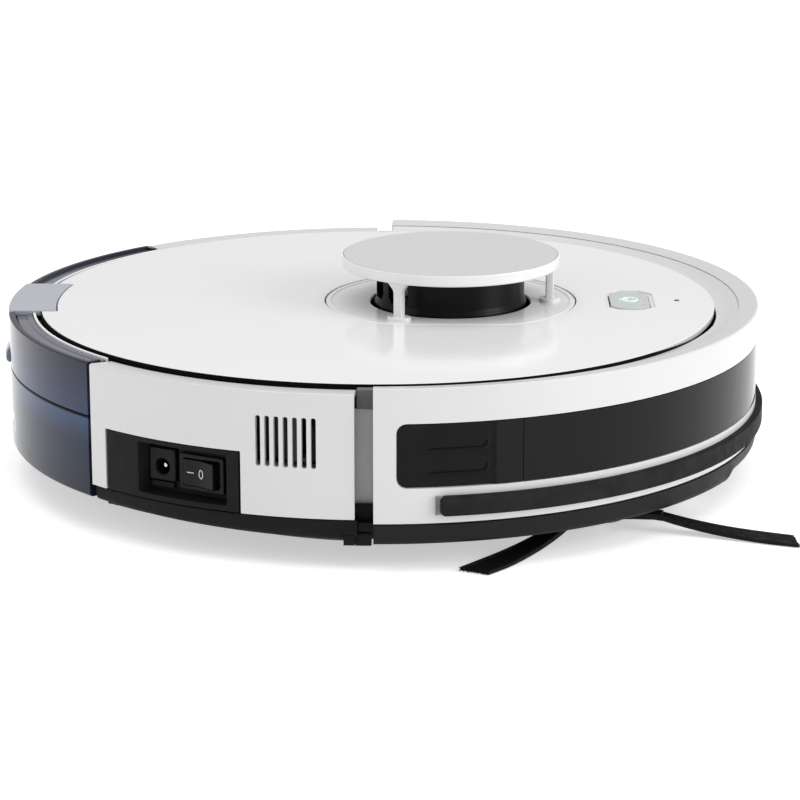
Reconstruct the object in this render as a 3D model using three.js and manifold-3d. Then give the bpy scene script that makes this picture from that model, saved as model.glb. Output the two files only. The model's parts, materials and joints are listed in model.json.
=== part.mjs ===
// Robot vacuum cleaner with a laser turret, as separate named parts.
// Millimetres. +X is the driving direction, +Y the cleaner's left, +Z up.
// The origin is on the floor, under the centre of the round body.
import * as THREE from 'three';
import { mergeVertices } from 'three/addons/utils/BufferGeometryUtils.js';
import Module from 'manifold-3d';

const wasm = await Module();
wasm.setup();

// ---- Driving dimensions ----
const RAD = Math.PI / 180;
const ARC_STEP = 7.5;           // degrees of arc in one facet of a large round part
const ROUND = 360 / ARC_STEP;
const SMALL_ROUND = 16;         // facets of a small round part
const GAP = 0.3;                // clearance between touching parts
const FAR = 220;                // beyond every part, for cutters

const SHELL_R = 165;            // rear side shells and dustbin
const SHELL_BOTTOM = 21.6;
const SHELL_TOP = 73.3;
const SHELL_START = 92;         // degrees from the front
const BIN_HALF = 45;            // half the dustbin's arc, in degrees
const BIN_FROM = 180 - BIN_HALF;
const WALL = 2.4;

const BUMPER_R = 168.3;
const BUMPER_BOTTOM = 20.9;
const BUMPER_TOP = 76.6;
const BUMPER_HALF = 89.4;
const BUMPER_TRAVEL = 4;
const RIM_R = 159.6;             // inner edge of the bumper's rim
const RIM_LOW = 74.8;
const WINDOW_LOW = 35.8;
const WINDOW_HIGH = 61.8;
const WINDOW_HALF = 86.2;
const GRIP_FROM = 72.5;
const STRIP_LOW = 24.4;
const STRIP_HIGH = 32.4;
const STRIP_HALF = 80.4;
const STRIP_R = 171.4;

const COVER_R = 150.7;
const COVER_TOP = 74;
const COVER_BOTTOM = 71.6;
const DECK_LOW = 65.3;
const DECK_HIGH = 67;
const DECK_RIM = 70.6;
const DECK_R = 154.6;

const FLOOR_LOW = 10;           // ground clearance under the base
const FLOOR_HIGH = 12.8;
const BASE_R = 163.7;
const ON_FLOOR = FLOOR_HIGH + GAP;

const LIDAR_X = 31.5;
const GUARD_R = 48.5;
const GUARD_TOP = 95.1;
const GUARD_PLATE_R = 55.7;
const GUARD_FLAT = 46.3;
const GUARD_POST_R = 44.3;
const DRUM_R = 32.5;
const DRUM_TOP = 88.9;
const LENS_ANGLES = [-135, -165];
const BELT_DRUM_R = 28.4;
const BELT_PULLEY_R = 4.1;
const PULLEY_OFFSET = 41;

const BUTTON_X = 111.5;
const BUTTON_LENGTH = 17.4;     // along X
const BUTTON_WIDTH = 34;        // along Y
const LED_X = 132.6;

const PANEL_ANGLE = -117.7;     // direction that the connector panel faces
const PANEL_HALF = 11.4;
const PANEL_TOP = 47.2;
const PANEL_FLOOR = 157.4;      // distance of its recessed face from the body's axis
const SWITCH_U = 6.6;
const SWITCH_Z = 34.2;
const JACK_U = -12.1;
const JACK_Z = 34.9;
const ROCKER_TILT = 8;

const VENT_COUNT = 7;
const VENT_FIRST = -105.6;
const VENT_STEP = 1.32;

const WHEEL_R = 31;
const WHEEL_Y = 112;
const WHEEL_HALF = 9;
const PIVOT_X = 42;
const PIVOT_Z = 40;
const CASTER_X = 122;
const CASTER_TRAIL = 6;
const CASTER_R = 11;

const BRUSH_X = -43;
const BRUSH_Z = 18.5;
const BRUSH_R = 17.5;
const BRUSH_HALF = 74;
const SIDE_X = 95;
const SIDE_Y = -104;
const SIDE_ARMS = [-130.6, -10.6, 109.4];
const SLEEVE_END = 26;
const TUFT_END = 75;

const BIN_BOTTOM = 16;
const BIN_FOOT = 10.8;           // the rear wall reaches down past the base
const BIN_FOOT_R = 155;
const BIN_SEAM = 50.4;
const BIN_ROOF = 62;
const BIN_TOP = 73.5;
const LEDGE_R = 152.2;
const LATCH_HALF = 27;
const FAN_X = -72;
const FAN_Y = -98;
const FAN_LOW = 44;
const FAN_HIGH = 64.6;

// ---- Shapes ----
// A closed geometry as a solid for joining and cutting.
function solid(geometry) {
  const bare = geometry.clone();
  bare.deleteAttribute('normal');
  bare.deleteAttribute('uv');
  const merged = mergeVertices(bare, 1e-4);
  const corners = merged.index.array;
  const triangles = [];
  for (let i = 0; i < corners.length; i += 3) {
    const [a, b, c] = [corners[i], corners[i + 1], corners[i + 2]];
    if (a !== b && b !== c && c !== a) triangles.push(a, b, c);
  }
  return new wasm.Manifold(new wasm.Mesh({
    numProp: 3,
    vertProperties: new Float32Array(merged.attributes.position.array),
    triVerts: new Uint32Array(triangles),
  }));
}

function boxGeometry(x0, x1, y0, y1, z0, z1) {
  const geometry = new THREE.BoxGeometry(x1 - x0, y1 - y0, z1 - z0);
  return geometry.translate((x0 + x1) / 2, (y0 + y1) / 2, (z0 + z1) / 2);
}

function box(x0, x1, y0, y1, z0, z1) {
  return solid(boxGeometry(x0, x1, y0, y1, z0, z1));
}

// An upright cylinder.
function disc(radius, z0, z1, x = 0, y = 0, facets = ROUND) {
  const geometry = new THREE.CylinderGeometry(radius, radius, z1 - z0, facets);
  return solid(geometry.rotateX(Math.PI / 2).translate(x, y, (z0 + z1) / 2));
}

// A cylinder lying along Y.
function rod(radius, y0, y1, x, z, facets = SMALL_ROUND) {
  const geometry = new THREE.CylinderGeometry(radius, radius, y1 - y0, facets);
  return solid(geometry.translate(x, (y0 + y1) / 2, z));
}

// A profile of [radius, height] points, anticlockwise, turned about Z.
function turned(profile, facets = ROUND) {
  const points = profile.map(([r, z]) => new THREE.Vector2(r, z));
  points.push(points[0].clone());
  return solid(new THREE.LatheGeometry(points, facets).rotateX(Math.PI / 2));
}

// An outline in XY, raised from z0 to z1.
function prism(shape, z0, z1, curveSegments = 12) {
  const options = { depth: z1 - z0, bevelEnabled: false, curveSegments };
  return solid(new THREE.ExtrudeGeometry(shape, options).translate(0, 0, z0));
}

// An outline in XZ, thickened from y0 to y1.
function slab(shape, y0, y1, curveSegments = 12) {
  const options = { depth: y1 - y0, bevelEnabled: false, curveSegments };
  const geometry = new THREE.ExtrudeGeometry(shape, options);
  return solid(geometry.rotateX(Math.PI / 2).translate(0, y1, 0));
}

// Part of a ring between two angles in degrees.
function sector(r0, r1, a0, a1, z0, z1) {
  const shape = new THREE.Shape();
  if (r0 === 0) {
    shape.moveTo(0, 0);
    shape.lineTo(r1 * Math.cos(a0 * RAD), r1 * Math.sin(a0 * RAD));
  } else {
    shape.absarc(0, 0, r0, a1 * RAD, a0 * RAD, true);
  }
  shape.absarc(0, 0, r1, a0 * RAD, a1 * RAD, false);
  return prism(shape, z0, z1, Math.max(1, Math.ceil((a1 - a0) / ARC_STEP)));
}

function wedge(a0, a1) {
  return sector(0, FAR, a0, a1, -10, 110);
}

function polygon(points) {
  return new THREE.Shape(points.map(([x, y]) => new THREE.Vector2(x, y)));
}

// A rectangle with cut corners, centred on (x, 0).
function octagon(x, length, width, cut) {
  const [a, b] = [length / 2, width / 2];
  return polygon([
    [x + a, -b + cut], [x + a, b - cut], [x + a - cut, b], [x - a + cut, b],
    [x - a, b - cut], [x - a, -b + cut], [x - a + cut, -b], [x + a - cut, -b],
  ]);
}

function union(...pieces) {
  return pieces.reduce((sum, piece) => sum.add(piece));
}

function cut(body, ...pieces) {
  return pieces.reduce((rest, piece) => rest.subtract(piece), body);
}

// ---- Parts list ----
const cleaner = new THREE.Group();

function addPart(name, body, look, parent = cleaner) {
  const { vertProperties, triVerts } = body.getMesh();
  const geometry = new THREE.BufferGeometry();
  geometry.setAttribute('position', new THREE.BufferAttribute(new Float32Array(vertProperties), 3));
  geometry.setIndex(new THREE.BufferAttribute(new Uint32Array(triVerts), 1));
  geometry.computeVertexNormals();
  const mesh = new THREE.Mesh(geometry, new THREE.MeshStandardMaterial(look));
  mesh.name = name;
  parent.add(mesh);
}

const WHITE = { color: 0xf2f2f2, roughness: 0.25, metalness: 0 };
const TRIM_GREY = { color: 0xc9c9c9, roughness: 0.4, metalness: 0 };
const BLACK = { color: 0x1b1b1d, roughness: 0.5, metalness: 0 };
const GLOSS_BLACK = { color: 0x101012, roughness: 0.08, metalness: 0 };
const DARK_GREY = { color: 0x3a3b3e, roughness: 0.6, metalness: 0 };
const MID_GREY = { color: 0x75767a, roughness: 0.6, metalness: 0 };
const SMOKE = { color: 0x535e80, roughness: 0.15, metalness: 0 };
const SILVER = { color: 0xb9bbc3, roughness: 0.35, metalness: 0.2 };
const RUBBER = { color: 0x202022, roughness: 0.85, metalness: 0 };
const STEEL = { color: 0xb8b8b4, roughness: 0.3, metalness: 1 };
const BRASS = { color: 0xc9a557, roughness: 0.3, metalness: 1 };
const BOARD = { color: 0x1f5a3a, roughness: 0.5, metalness: 0 };
const WRAP_BLUE = { color: 0x2b5fa3, roughness: 0.4, metalness: 0 };
const PAPER = { color: 0xe9e6dc, roughness: 0.9, metalness: 0 };
const LENS = { color: 0x050507, roughness: 0.05, metalness: 0 };
const LIGHT_PIPE = { color: 0xd8dad8, roughness: 0.3, metalness: 0 };

// ---- Base ----
const WHEEL_HOLE = { front: 36, inner: 100.5, outer: 124.5 };
const ARM_HOLE = { back: -20, inner: 84 };
const LUG = { back: 37, front: 48, top: 46, thick: 3.5 };

function sideHoles(side) {
  const [near, far] = [WHEEL_HOLE.inner * side, WHEEL_HOLE.outer * side].sort((a, b) => a - b);
  const [low, high] = [ARM_HOLE.inner * side, (WHEEL_HOLE.inner + 1) * side].sort((a, b) => a - b);
  return union(
    box(-WHEEL_HOLE.front, WHEEL_HOLE.front, near, far, 0, 30),
    box(ARM_HOLE.back, WHEEL_HOLE.front, low, high, 0, 30),
  );
}

function pivotLugs(side) {
  const lugs = [82, 100.5].map((y) => {
    const [low, high] = [y * side, (y + LUG.thick) * side].sort((a, b) => a - b);
    return box(LUG.back, LUG.front, low, high, FLOOR_LOW + 1, LUG.top);
  });
  const bore = rod(2.9, 70 * side - 60, 70 * side + 60, PIVOT_X, PIVOT_Z);
  return cut(union(...lugs), bore);
}

const CLIFF_SENSORS = [[140, -35.8], [140, 35.8]];
const CONTACTS = [[134, -64], [134, 64]];
const BATTERY = { back: 22, front: 92, half: 35 };

function basePlate() {
  const rear = turned([
    [0, FLOOR_LOW], [156, FLOOR_LOW], [BASE_R, 13.2], [BASE_R, 21], [BASE_R - 2.2, 21],
    [BASE_R - 2.2, 15.8], [155.5, FLOOR_HIGH], [0, FLOOR_HIGH],
  ]).intersect(wedge(91.6, 268.4));
  const frontR = BUMPER_R - 1.9 - BUMPER_TRAVEL - 1.5;
  const front = turned([
    [0, FLOOR_LOW], [153, FLOOR_LOW], [frontR, 15], [frontR, 19.4], [frontR - 2.2, 19.4],
    [frontR - 2.2, 15.8], [152.5, FLOOR_HIGH], [0, FLOOR_HIGH],
  ]).intersect(wedge(-91.8, 91.8));
  const innerRim = cut(
    sector(155.6, 157.6, -134, 134, FLOOR_HIGH - 0.6, 26),
    sector(150, 160, -132.2, -107.8, 0, 30),
  );
  const body = union(rear, front, innerRim, pivotLugs(1), pivotLugs(-1));
  const openings = [
    sector(140, FAR, BIN_FROM - 0.4, 360 - BIN_FROM + 0.4, 15.6, 40),
    sector(BIN_FOOT_R - 0.8, FAR, BIN_FROM - 0.4, 360 - BIN_FROM + 0.4, 0, 40),
    sideHoles(1),
    sideHoles(-1),
    disc(18.6, 0, 30, CASTER_X, 0, 24),
    disc(13.5, 0, 30, SIDE_X, SIDE_Y, 20),
    box(-64.5, -21.5, -80, 80, 0, 30),
    box(BATTERY.back, BATTERY.front, -BATTERY.half, BATTERY.half, 0, 30),
    ...CLIFF_SENSORS.map(([x, y]) => box(x - 4.5, x + 4.5, y - 7.5, y + 7.5, 0, 30)),
    ...CONTACTS.map(([x, y]) => box(x - 5.5, x + 5.5, y - 11.5, y + 11.5, 0, 30)),
  ];
  return cut(body, ...openings);
}

function innerWall() {
  const ring = sector(152.7, 155.1, -BIN_FROM + 0.8, BIN_FROM - 0.8, 14.6, 65);
  return cut(
    ring,
    sector(140, 160, -128.5, -109.6, 0, 50),
    sector(140, 160, -107, -94, 43.5, 80),
  );
}

function topDeck() {
  const deck = union(disc(DECK_R, DECK_LOW, DECK_HIGH), cut(
    disc(DECK_R, DECK_HIGH - 0.5, DECK_RIM),
    disc(DECK_R - 5, DECK_HIGH - 1, DECK_RIM + 1),
  ));
  return cut(
    deck,
    disc(52.8, 60, 80, LIDAR_X, 0, 36),
    sector(LEDGE_R - 0.4, FAR, BIN_FROM - 0.6, 360 - BIN_FROM + 0.6, 60, 80),
    box(-170, -141.5, -LATCH_HALF - 1, LATCH_HALF + 1, DECK_HIGH + 0.2, 80),
    box(BUTTON_X - 5, BUTTON_X + 5, -9, 9, 60, 68),
    disc(2, 60, 70, LED_X, 0, SMALL_ROUND),
  );
}

// The outline of the turret's plate: a circle with one side cut flat.
function plateOutline(radius, flat) {
  const corner = Math.asin(flat / radius);
  const shape = new THREE.Shape();
  shape.absarc(LIDAR_X, 0, radius, -corner, Math.PI + corner, false);
  return shape;
}

function latchOutline(r0, half) {
  const strip = box(-FAR, -100, -half, half, 0, 110);
  return strip.intersect(sector(r0, FAR, 160, 200, 0, 110));
}

function topCover() {
  const plate = turned([
    [0, COVER_BOTTOM], [COVER_R, COVER_BOTTOM], [COVER_R, COVER_TOP - 0.5],
    [COVER_R - 0.5, COVER_TOP], [0, COVER_TOP],
  ]);
  const skirt = turned([[146.6, 67.6], [148.8, 67.6], [148.8, 72], [146.6, 72]]);
  return cut(
    union(plate, skirt),
    prism(plateOutline(GUARD_PLATE_R + 0.6, GUARD_FLAT + 0.6), 60, 90, 40),
    prism(octagon(BUTTON_X, 21.8, 38.4, 6), COVER_TOP - 1, 90),
    prism(octagon(BUTTON_X, BUTTON_LENGTH + 0.8, BUTTON_WIDTH + 0.8, 5), 60, 90),
    box(LED_X - 1.2, LED_X + 1.2, -2.2, 2.2, 60, 90),
    latchOutline(142, LATCH_HALF + 0.5),
  );
}

function frontTrim() {
  return turned([
    [151.3, DECK_RIM + GAP], [159.3, DECK_RIM + GAP], [159.3, RIM_LOW - GAP], [158.6, RIM_LOW - GAP],
    [151.3, 72.4],
  ]).intersect(wedge(-89.2, 89.2));
}

function rearShell(side) {
  const inner = SHELL_R - WALL;
  const profile = [
    [inner, SHELL_BOTTOM], [SHELL_R, SHELL_BOTTOM], [SHELL_R, SHELL_TOP - 1.1],
    [SHELL_R - 1.1, SHELL_TOP], [LEDGE_R, 72.4], [LEDGE_R, 70.9], [inner, 70.9],
  ];
  const [from, to] = [SHELL_START, BIN_FROM - 0.3];
  const arc = side > 0 ? wedge(from, to) : wedge(-to, -from);
  return turned(profile).intersect(arc);
}

function ventSlot(angle) {
  const slot = boxGeometry(SHELL_R - 8, SHELL_R + 5, -1, 1, 42.3, 63);
  return solid(slot.rotateZ(angle * RAD));
}

function rightShell() {
  const [from, to] = [PANEL_ANGLE - PANEL_HALF - 2.5, PANEL_ANGLE + PANEL_HALF - 1.9];
  const panel = sector(150, FAR, from, to, 0, PANEL_TOP + GAP);
  const slots = Array.from({ length: VENT_COUNT }, (_, i) => ventSlot(VENT_FIRST + i * VENT_STEP));
  return cut(rearShell(-1), panel, ...slots);
}

addPart('base_plate', basePlate(), BLACK);
addPart('inner_wall', innerWall(), MID_GREY);
addPart('top_deck', topDeck(), BLACK);
addPart('top_cover', topCover(), WHITE);
addPart('front_trim', frontTrim(), TRIM_GREY);
addPart('rear_shell_left', rearShell(1), WHITE);
addPart('rear_shell_right', rightShell(), WHITE);

// ---- Connector panel, modelled facing -Y and then turned to its place ----
const panelGroup = new THREE.Group();
panelGroup.rotation.z = (PANEL_ANGLE + 90) * RAD;
cleaner.add(panelGroup);

const SWITCH_HALF = { u: 10.5, z: 7.5 };
const SWITCH_BODY_HALF = { u: 9.7, z: 6.7 };
const JACK_HALF = { u: 6.1, z: 6.8 };
const JACK_MIDDLE = JACK_Z + 1;

function panelBox(u, halfU, z, halfZ, front, back) {
  return box(u - halfU, u + halfU, -front, -back, z - halfZ, z + halfZ);
}

function connectorPanel() {
  const from = -90 - PANEL_HALF - 2.2;
  const to = -90 + PANEL_HALF - 2.2;
  const skin = sector(162.7, SHELL_R - 0.1, from, to, SHELL_BOTTOM + 0.2, PANEL_TOP);
  const cup = box(-21.8, 22.4, -166, -PANEL_FLOOR + 2, 22.4, 46.2)
    .intersect(sector(0, SHELL_R - 0.1, from, to, 0, 80));
  return cut(
    union(skin, cup),
    box(-20.3, 21, -FAR, -PANEL_FLOOR, 24, 44.5),
    panelBox(SWITCH_U, SWITCH_BODY_HALF.u + GAP, SWITCH_Z, SWITCH_BODY_HALF.z + GAP, 160, 150),
    panelBox(JACK_U, JACK_HALF.u + GAP, JACK_MIDDLE, JACK_HALF.z + GAP, 160, 150),
  );
}

function switchBody() {
  const face = PANEL_FLOOR + GAP;
  return cut(
    union(
      panelBox(SWITCH_U, SWITCH_BODY_HALF.u, SWITCH_Z, SWITCH_BODY_HALF.z, face + 0.5, 143),
      panelBox(SWITCH_U, SWITCH_HALF.u, SWITCH_Z, SWITCH_HALF.z, face + 1.7, face),
    ),
    panelBox(SWITCH_U, 8.6, SWITCH_Z, 5.8, FAR, 151.5),
  );
}

function powerRocker() {
  const outline = polygon([[-7.8, 0.5], [-7.8, -4.6], [0, -3.6], [7.8, -4.6], [7.8, 0.5]]);
  return prism(outline, -5.5, 5.5);
}

function dcSocket() {
  return cut(
    panelBox(JACK_U, JACK_HALF.u, JACK_MIDDLE, JACK_HALF.z, PANEL_FLOOR + 2.2, 144),
    rod(3.2, -FAR, -147, JACK_U, JACK_Z, 24),
  );
}

addPart('jack_panel', connectorPanel(), BLACK, panelGroup);
addPart('power_switch_body', switchBody(), BLACK, panelGroup);
addPart('dc_socket', dcSocket(), BLACK, panelGroup);
addPart('dc_pin', rod(1.05, -156.6, -147 - GAP, JACK_U, JACK_Z, 12), STEEL, panelGroup);

const rockerGroup = new THREE.Group();
rockerGroup.position.set(SWITCH_U, -156.5, SWITCH_Z);
rockerGroup.rotation.z = -ROCKER_TILT * RAD;
panelGroup.add(rockerGroup);
addPart('power_rocker', powerRocker(), BLACK, rockerGroup);

// ---- Bumper ----
function bothEnds(makeEnd) {
  return union(makeEnd(1), makeEnd(-1));
}

function endSector(side, r0, r1, from, to, z0, z1) {
  return side > 0 ? sector(r0, r1, from, to, z0, z1) : sector(r0, r1, -to, -from, z0, z1);
}

function bumperShell() {
  const groove = BUMPER_R - 1.9;
  const shell = turned([
    [163.7, BUMPER_BOTTOM], [BUMPER_R, BUMPER_BOTTOM], [BUMPER_R, WINDOW_LOW - GAP],
    [groove, WINDOW_LOW - GAP], [groove, WINDOW_HIGH + GAP], [BUMPER_R, WINDOW_HIGH + GAP],
    [BUMPER_R, BUMPER_TOP - 1.4], [BUMPER_R - 1, BUMPER_TOP],
    [RIM_R, BUMPER_TOP - 1.4], [RIM_R, RIM_LOW], [163.7, RIM_LOW],
  ]).intersect(wedge(-BUMPER_HALF, BUMPER_HALF));
  const post = (side) => endSector(side, 166, BUMPER_R, WINDOW_HALF + 0.2, BUMPER_HALF, 35, 62.5);
  return union(shell, bothEnds(post));
}

function bumperWindow() {
  const inner = BUMPER_R - 1.6;
  const pane = sector(inner, BUMPER_R - 0.2, -GRIP_FROM, GRIP_FROM, WINDOW_LOW, WINDOW_HIGH);
  const grip = (side) => union(
    endSector(side, inner, inner + 0.7, GRIP_FROM - 0.2, WINDOW_HALF, WINDOW_LOW, WINDOW_HIGH),
    endSector(side, inner + 0.3, BUMPER_R - 0.3, 73.6, 82.6, 40.4, 41.6),
    endSector(side, inner + 0.3, BUMPER_R - 0.3, 73.6, 82.6, 50.2, 51.4),
  );
  return union(pane, bothEnds(grip));
}

function bumperSkirt() {
  const skirt = sector(166.4, 168.7, -91.4, 91.4, 12.5, 20.6);
  return cut(skirt, sector(160, FAR, -24, 24, 0, 15.3));
}

function bumperStrip() {
  return sector(BUMPER_R + GAP, STRIP_R, -STRIP_HALF, STRIP_HALF, STRIP_LOW, STRIP_HIGH);
}

addPart('bumper_shell', bumperShell(), WHITE);
addPart('bumper_window', bumperWindow(), GLOSS_BLACK);
addPart('bumper_strip', bumperStrip(), RUBBER);
addPart('bumper_skirt', bumperSkirt(), BLACK);

// ---- Laser turret, about its own axis ----
const lidarGroup = new THREE.Group();
lidarGroup.position.x = LIDAR_X;
cleaner.add(lidarGroup);

function lidarBase() {
  const tray = turned([
    [0, 62.5], [52, 62.5], [52, DECK_HIGH + GAP], [56, DECK_HIGH + GAP], [56, 69], [50, 69],
    [50, 64.3], [4, 64.3], [4, 67.6], [0, 67.6],
  ], 36);
  return cut(tray, disc(2.4, 60, 70, -PULLEY_OFFSET, 0, SMALL_ROUND));
}

function lidarDrum() {
  const drum = turned([
    [4.6, 64.8], [30, 64.8], [30, 67.2], [BELT_DRUM_R - 0.9, 67.2], [BELT_DRUM_R - 0.9, 69.6], [30, 69.6],
    [30, 72.4], [34.6, 72.4], [34.6, 74], [DRUM_R, 75.4], [DRUM_R, DRUM_TOP], [0, DRUM_TOP],
    [0, DRUM_TOP - 2], [DRUM_R - 2, DRUM_TOP - 2], [DRUM_R - 2, 75.4], [25, 71], [25, 67], [4.6, 67],
  ], 30);
  const sockets = LENS_ANGLES.map((angle) => lensBarrel(angle, 5.8));
  return cut(drum, ...sockets);
}

function lensBarrel(angle, radius, r0 = 20, r1 = 40) {
  const geometry = new THREE.CylinderGeometry(radius, radius, r1 - r0, SMALL_ROUND);
  geometry.rotateZ(-Math.PI / 2).translate((r0 + r1) / 2, 0, 81.6);
  return solid(geometry.rotateZ(angle * RAD));
}

function guardPost(angle) {
  const stem = boxGeometry(GUARD_POST_R - 2.2, GUARD_POST_R + 2.2, -2.7, 2.7, 73, 92);
  const foot = boxGeometry(GUARD_POST_R - 3.4, GUARD_POST_R + 3.4, -5.5, 5.5, 73, 75.4);
  return union(solid(stem.rotateZ(angle * RAD)), solid(foot.rotateZ(angle * RAD)));
}

function lidarGuard() {
  const outline = plateOutline(GUARD_PLATE_R, GUARD_FLAT);
  const plate = prism(outline, 71.9, 73.9, 40);
  const ring = cut(plate, disc(35.8, 70, 76, LIDAR_X, 0, 36));
  const cap = turned([
    [0, 91.6], [46.4, 91.6], [46.4, 89.8], [GUARD_R, 89.8], [GUARD_R, GUARD_TOP],
    [46.4, GUARD_TOP], [46.4, 94.2], [0, 94.2],
  ], 36);
  const posts = [0, 120, 240].map(guardPost);
  return { ring, above: union(cap, ...posts) };
}

function beltOutline(bigR, smallR) {
  const lean = Math.acos((bigR - smallR) / PULLEY_OFFSET);
  const shape = new THREE.Shape();
  shape.absarc(0, 0, bigR, lean - Math.PI, Math.PI - lean, false);
  shape.absarc(-PULLEY_OFFSET, 0, smallR, Math.PI - lean, Math.PI + lean, false);
  return shape;
}

function lidarBelt() {
  const outer = prism(beltOutline(BELT_DRUM_R + 0.6, BELT_PULLEY_R + 0.6), 67.6, 69.2, 22);
  const inner = prism(beltOutline(BELT_DRUM_R - 0.6, BELT_PULLEY_R - 0.6), 60, 80, 22);
  return cut(outer, inner);
}

function lidarPulley() {
  const grooveR = BELT_PULLEY_R - 0.9;
  return turned([
    [0, 58], [1.2, 58], [1.2, 66.4], [5.6, 66.4], [5.6, 67.2], [grooveR, 67.2],
    [grooveR, 69.6], [5.6, 69.6], [5.6, 70.4], [0, 70.4],
  ], SMALL_ROUND);
}

function lidarMotor() {
  return cut(disc(10, 44, 62.2, 0, 0, 24), disc(1.6, 57.7, 70, 0, 0, 12));
}

addPart('lidar_base', lidarBase(), DARK_GREY, lidarGroup);
addPart('lidar_drum', lidarDrum(), BLACK, lidarGroup);
addPart('lidar_lens_1', lensBarrel(LENS_ANGLES[0], 5.4, 24, DRUM_R - 0.4), LENS, lidarGroup);
addPart('lidar_lens_2', lensBarrel(LENS_ANGLES[1], 5.4, 24, DRUM_R - 0.4), LENS, lidarGroup);
addPart('lidar_belt', lidarBelt(), RUBBER, lidarGroup);
addPart('lidar_guard_inlay', disc(45.8, 94.2 + GAP, 95.3, 0, 0, 36), TRIM_GREY, lidarGroup);

const motorGroup = new THREE.Group();
motorGroup.position.x = -PULLEY_OFFSET;
lidarGroup.add(motorGroup);
addPart('lidar_motor', lidarMotor(), STEEL, motorGroup);
addPart('lidar_pulley', lidarPulley(), BRASS, motorGroup);

// The guard's plate follows the cover's axes, so it is joined to the posts in the cleaner's frame.
function placedAtLidar(body) {
  const { vertProperties, triVerts } = body.getMesh();
  const geometry = new THREE.BufferGeometry();
  geometry.setAttribute('position', new THREE.BufferAttribute(new Float32Array(vertProperties), 3));
  geometry.setIndex(new THREE.BufferAttribute(new Uint32Array(triVerts), 1));
  return solid(geometry.translate(LIDAR_X, 0, 0));
}

const guard = lidarGuard();
addPart('lidar_guard', guard.ring.add(placedAtLidar(guard.above)), WHITE);

// ---- Button and status light ----
function startButton() {
  const cap = prism(octagon(BUTTON_X, BUTTON_LENGTH, BUTTON_WIDTH, 4.8), 69, COVER_TOP + 0.1);
  return union(cap, box(BUTTON_X - 2, BUTTON_X + 2, -4, 4, 63.5, 69.2));
}

addPart('start_button', startButton(), MID_GREY);
addPart('status_led', box(LED_X - 0.9, LED_X + 0.9, -1.9, 1.9, 67.6, COVER_TOP), LIGHT_PIPE);

// ---- Electronics and battery ----
function mainBoard() {
  const chips = [
    [40, 58, -40, -20, 4], [66, 84, -8, 14, 3], [44, 62, 20, 44, 6], [88, 104, 28, 48, 9],
  ].map(([x0, x1, y0, y1, height]) => box(x0, x1, y0, y1, 41, 41.6 + height));
  return union(box(20, 110, -55, 58, 40, 41.6), ...chips);
}

function batteryDoor() {
  const half = BATTERY.half - GAP;
  return box(BATTERY.back + GAP, BATTERY.front - GAP, -half, half, FLOOR_LOW, 12.6);
}

function batteryPack() {
  return box(BATTERY.back + 1, BATTERY.front - 1, -BATTERY.half + 1, BATTERY.half - 1, 13, 34);
}

addPart('main_board', mainBoard(), BOARD);
addPart('battery_pack', batteryPack(), WRAP_BLUE);
addPart('battery_door', batteryDoor(), BLACK);
CLIFF_SENSORS.forEach(([x, y], i) => {
  addPart(`cliff_sensor_${i + 1}`, box(x - 4.2, x + 4.2, y - 7.2, y + 7.2, FLOOR_LOW + 0.2, 17), LENS);
});
CONTACTS.forEach(([x, y], i) => {
  const side = i === 0 ? 'right' : 'left';
  addPart(`charge_contact_${side}`, box(x - 5.2, x + 5.2, y - 11.2, y + 11.2, FLOOR_LOW - 0.4, 14), STEEL);
});

// ---- Drive wheels ----
function wheelArm(side) {
  const y = (distance) => distance * side;
  const between = (a, b) => [y(a), y(b)].sort((p, q) => p - q);
  const bar = polygon([
    [0, WHEEL_R - 14.5], [0, WHEEL_R + 14.5], [PIVOT_X, PIVOT_Z + 7.5], [PIVOT_X, PIVOT_Z - 7.5],
  ]);
  const [low, high] = between(86, 100);
  return union(
    slab(bar, low, high),
    rod(15, low, high, 0, WHEEL_R, 32),
    rod(8, low, high, PIVOT_X, PIVOT_Z, 24),
    rod(2.5, ...between(82, 104), PIVOT_X, PIVOT_Z),
    rod(3.1, ...between(95, 109.7), 0, WHEEL_R),
  );
}

function wheelHub() {
  const [inner, outer] = [-WHEEL_HALF + 0.5, WHEEL_HALF - 0.5];
  return turned([
    [3.5, inner], [25.1, inner], [25.1, outer], [21, outer], [19, 5], [8, 5], [6, outer], [0, outer],
    [0, -2], [3.5, -2],
  ], 24);
}

function wheelTyre() {
  const edge = WHEEL_R - 1.2;
  return turned([
    [25.6, -WHEEL_HALF], [edge, -WHEEL_HALF], [WHEEL_R, -7],
    [WHEEL_R, 7], [edge, WHEEL_HALF], [25.6, WHEEL_HALF],
  ], 24);
}

for (const [name, side] of [['right', -1], ['left', 1]]) {
  addPart(`wheel_arm_${name}`, wheelArm(side), DARK_GREY);
  const wheel = new THREE.Group();
  wheel.position.set(0, WHEEL_Y * side, WHEEL_R);
  wheel.rotation.x = -side * Math.PI / 2;
  cleaner.add(wheel);
  addPart(`wheel_hub_${name}`, wheelHub(), MID_GREY, wheel);
  addPart(`wheel_tyre_${name}`, wheelTyre(), RUBBER, wheel);
}

// ---- Front caster, about its swivel axis ----
const casterGroup = new THREE.Group();
casterGroup.position.x = CASTER_X;
cleaner.add(casterGroup);

function casterSocket() {
  return turned([
    [18.3, ON_FLOOR], [20.2, ON_FLOOR], [20.2, 27], [4.6, 27], [4.6, 25.2], [18.3, 25.2],
  ], 24);
}

function casterFork() {
  const body = turned([[0, 8.2], [15.5, 8.2], [17.6, 11], [17.6, 24.6], [4, 24.6], [4, 29], [0, 29]], 24);
  return cut(
    body,
    box(-CASTER_TRAIL - 12, -CASTER_TRAIL + 12, -6.9, 6.9, 0, 22.8),
    rod(1.7, -20, 20, -CASTER_TRAIL, CASTER_R, 16),
  );
}

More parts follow.
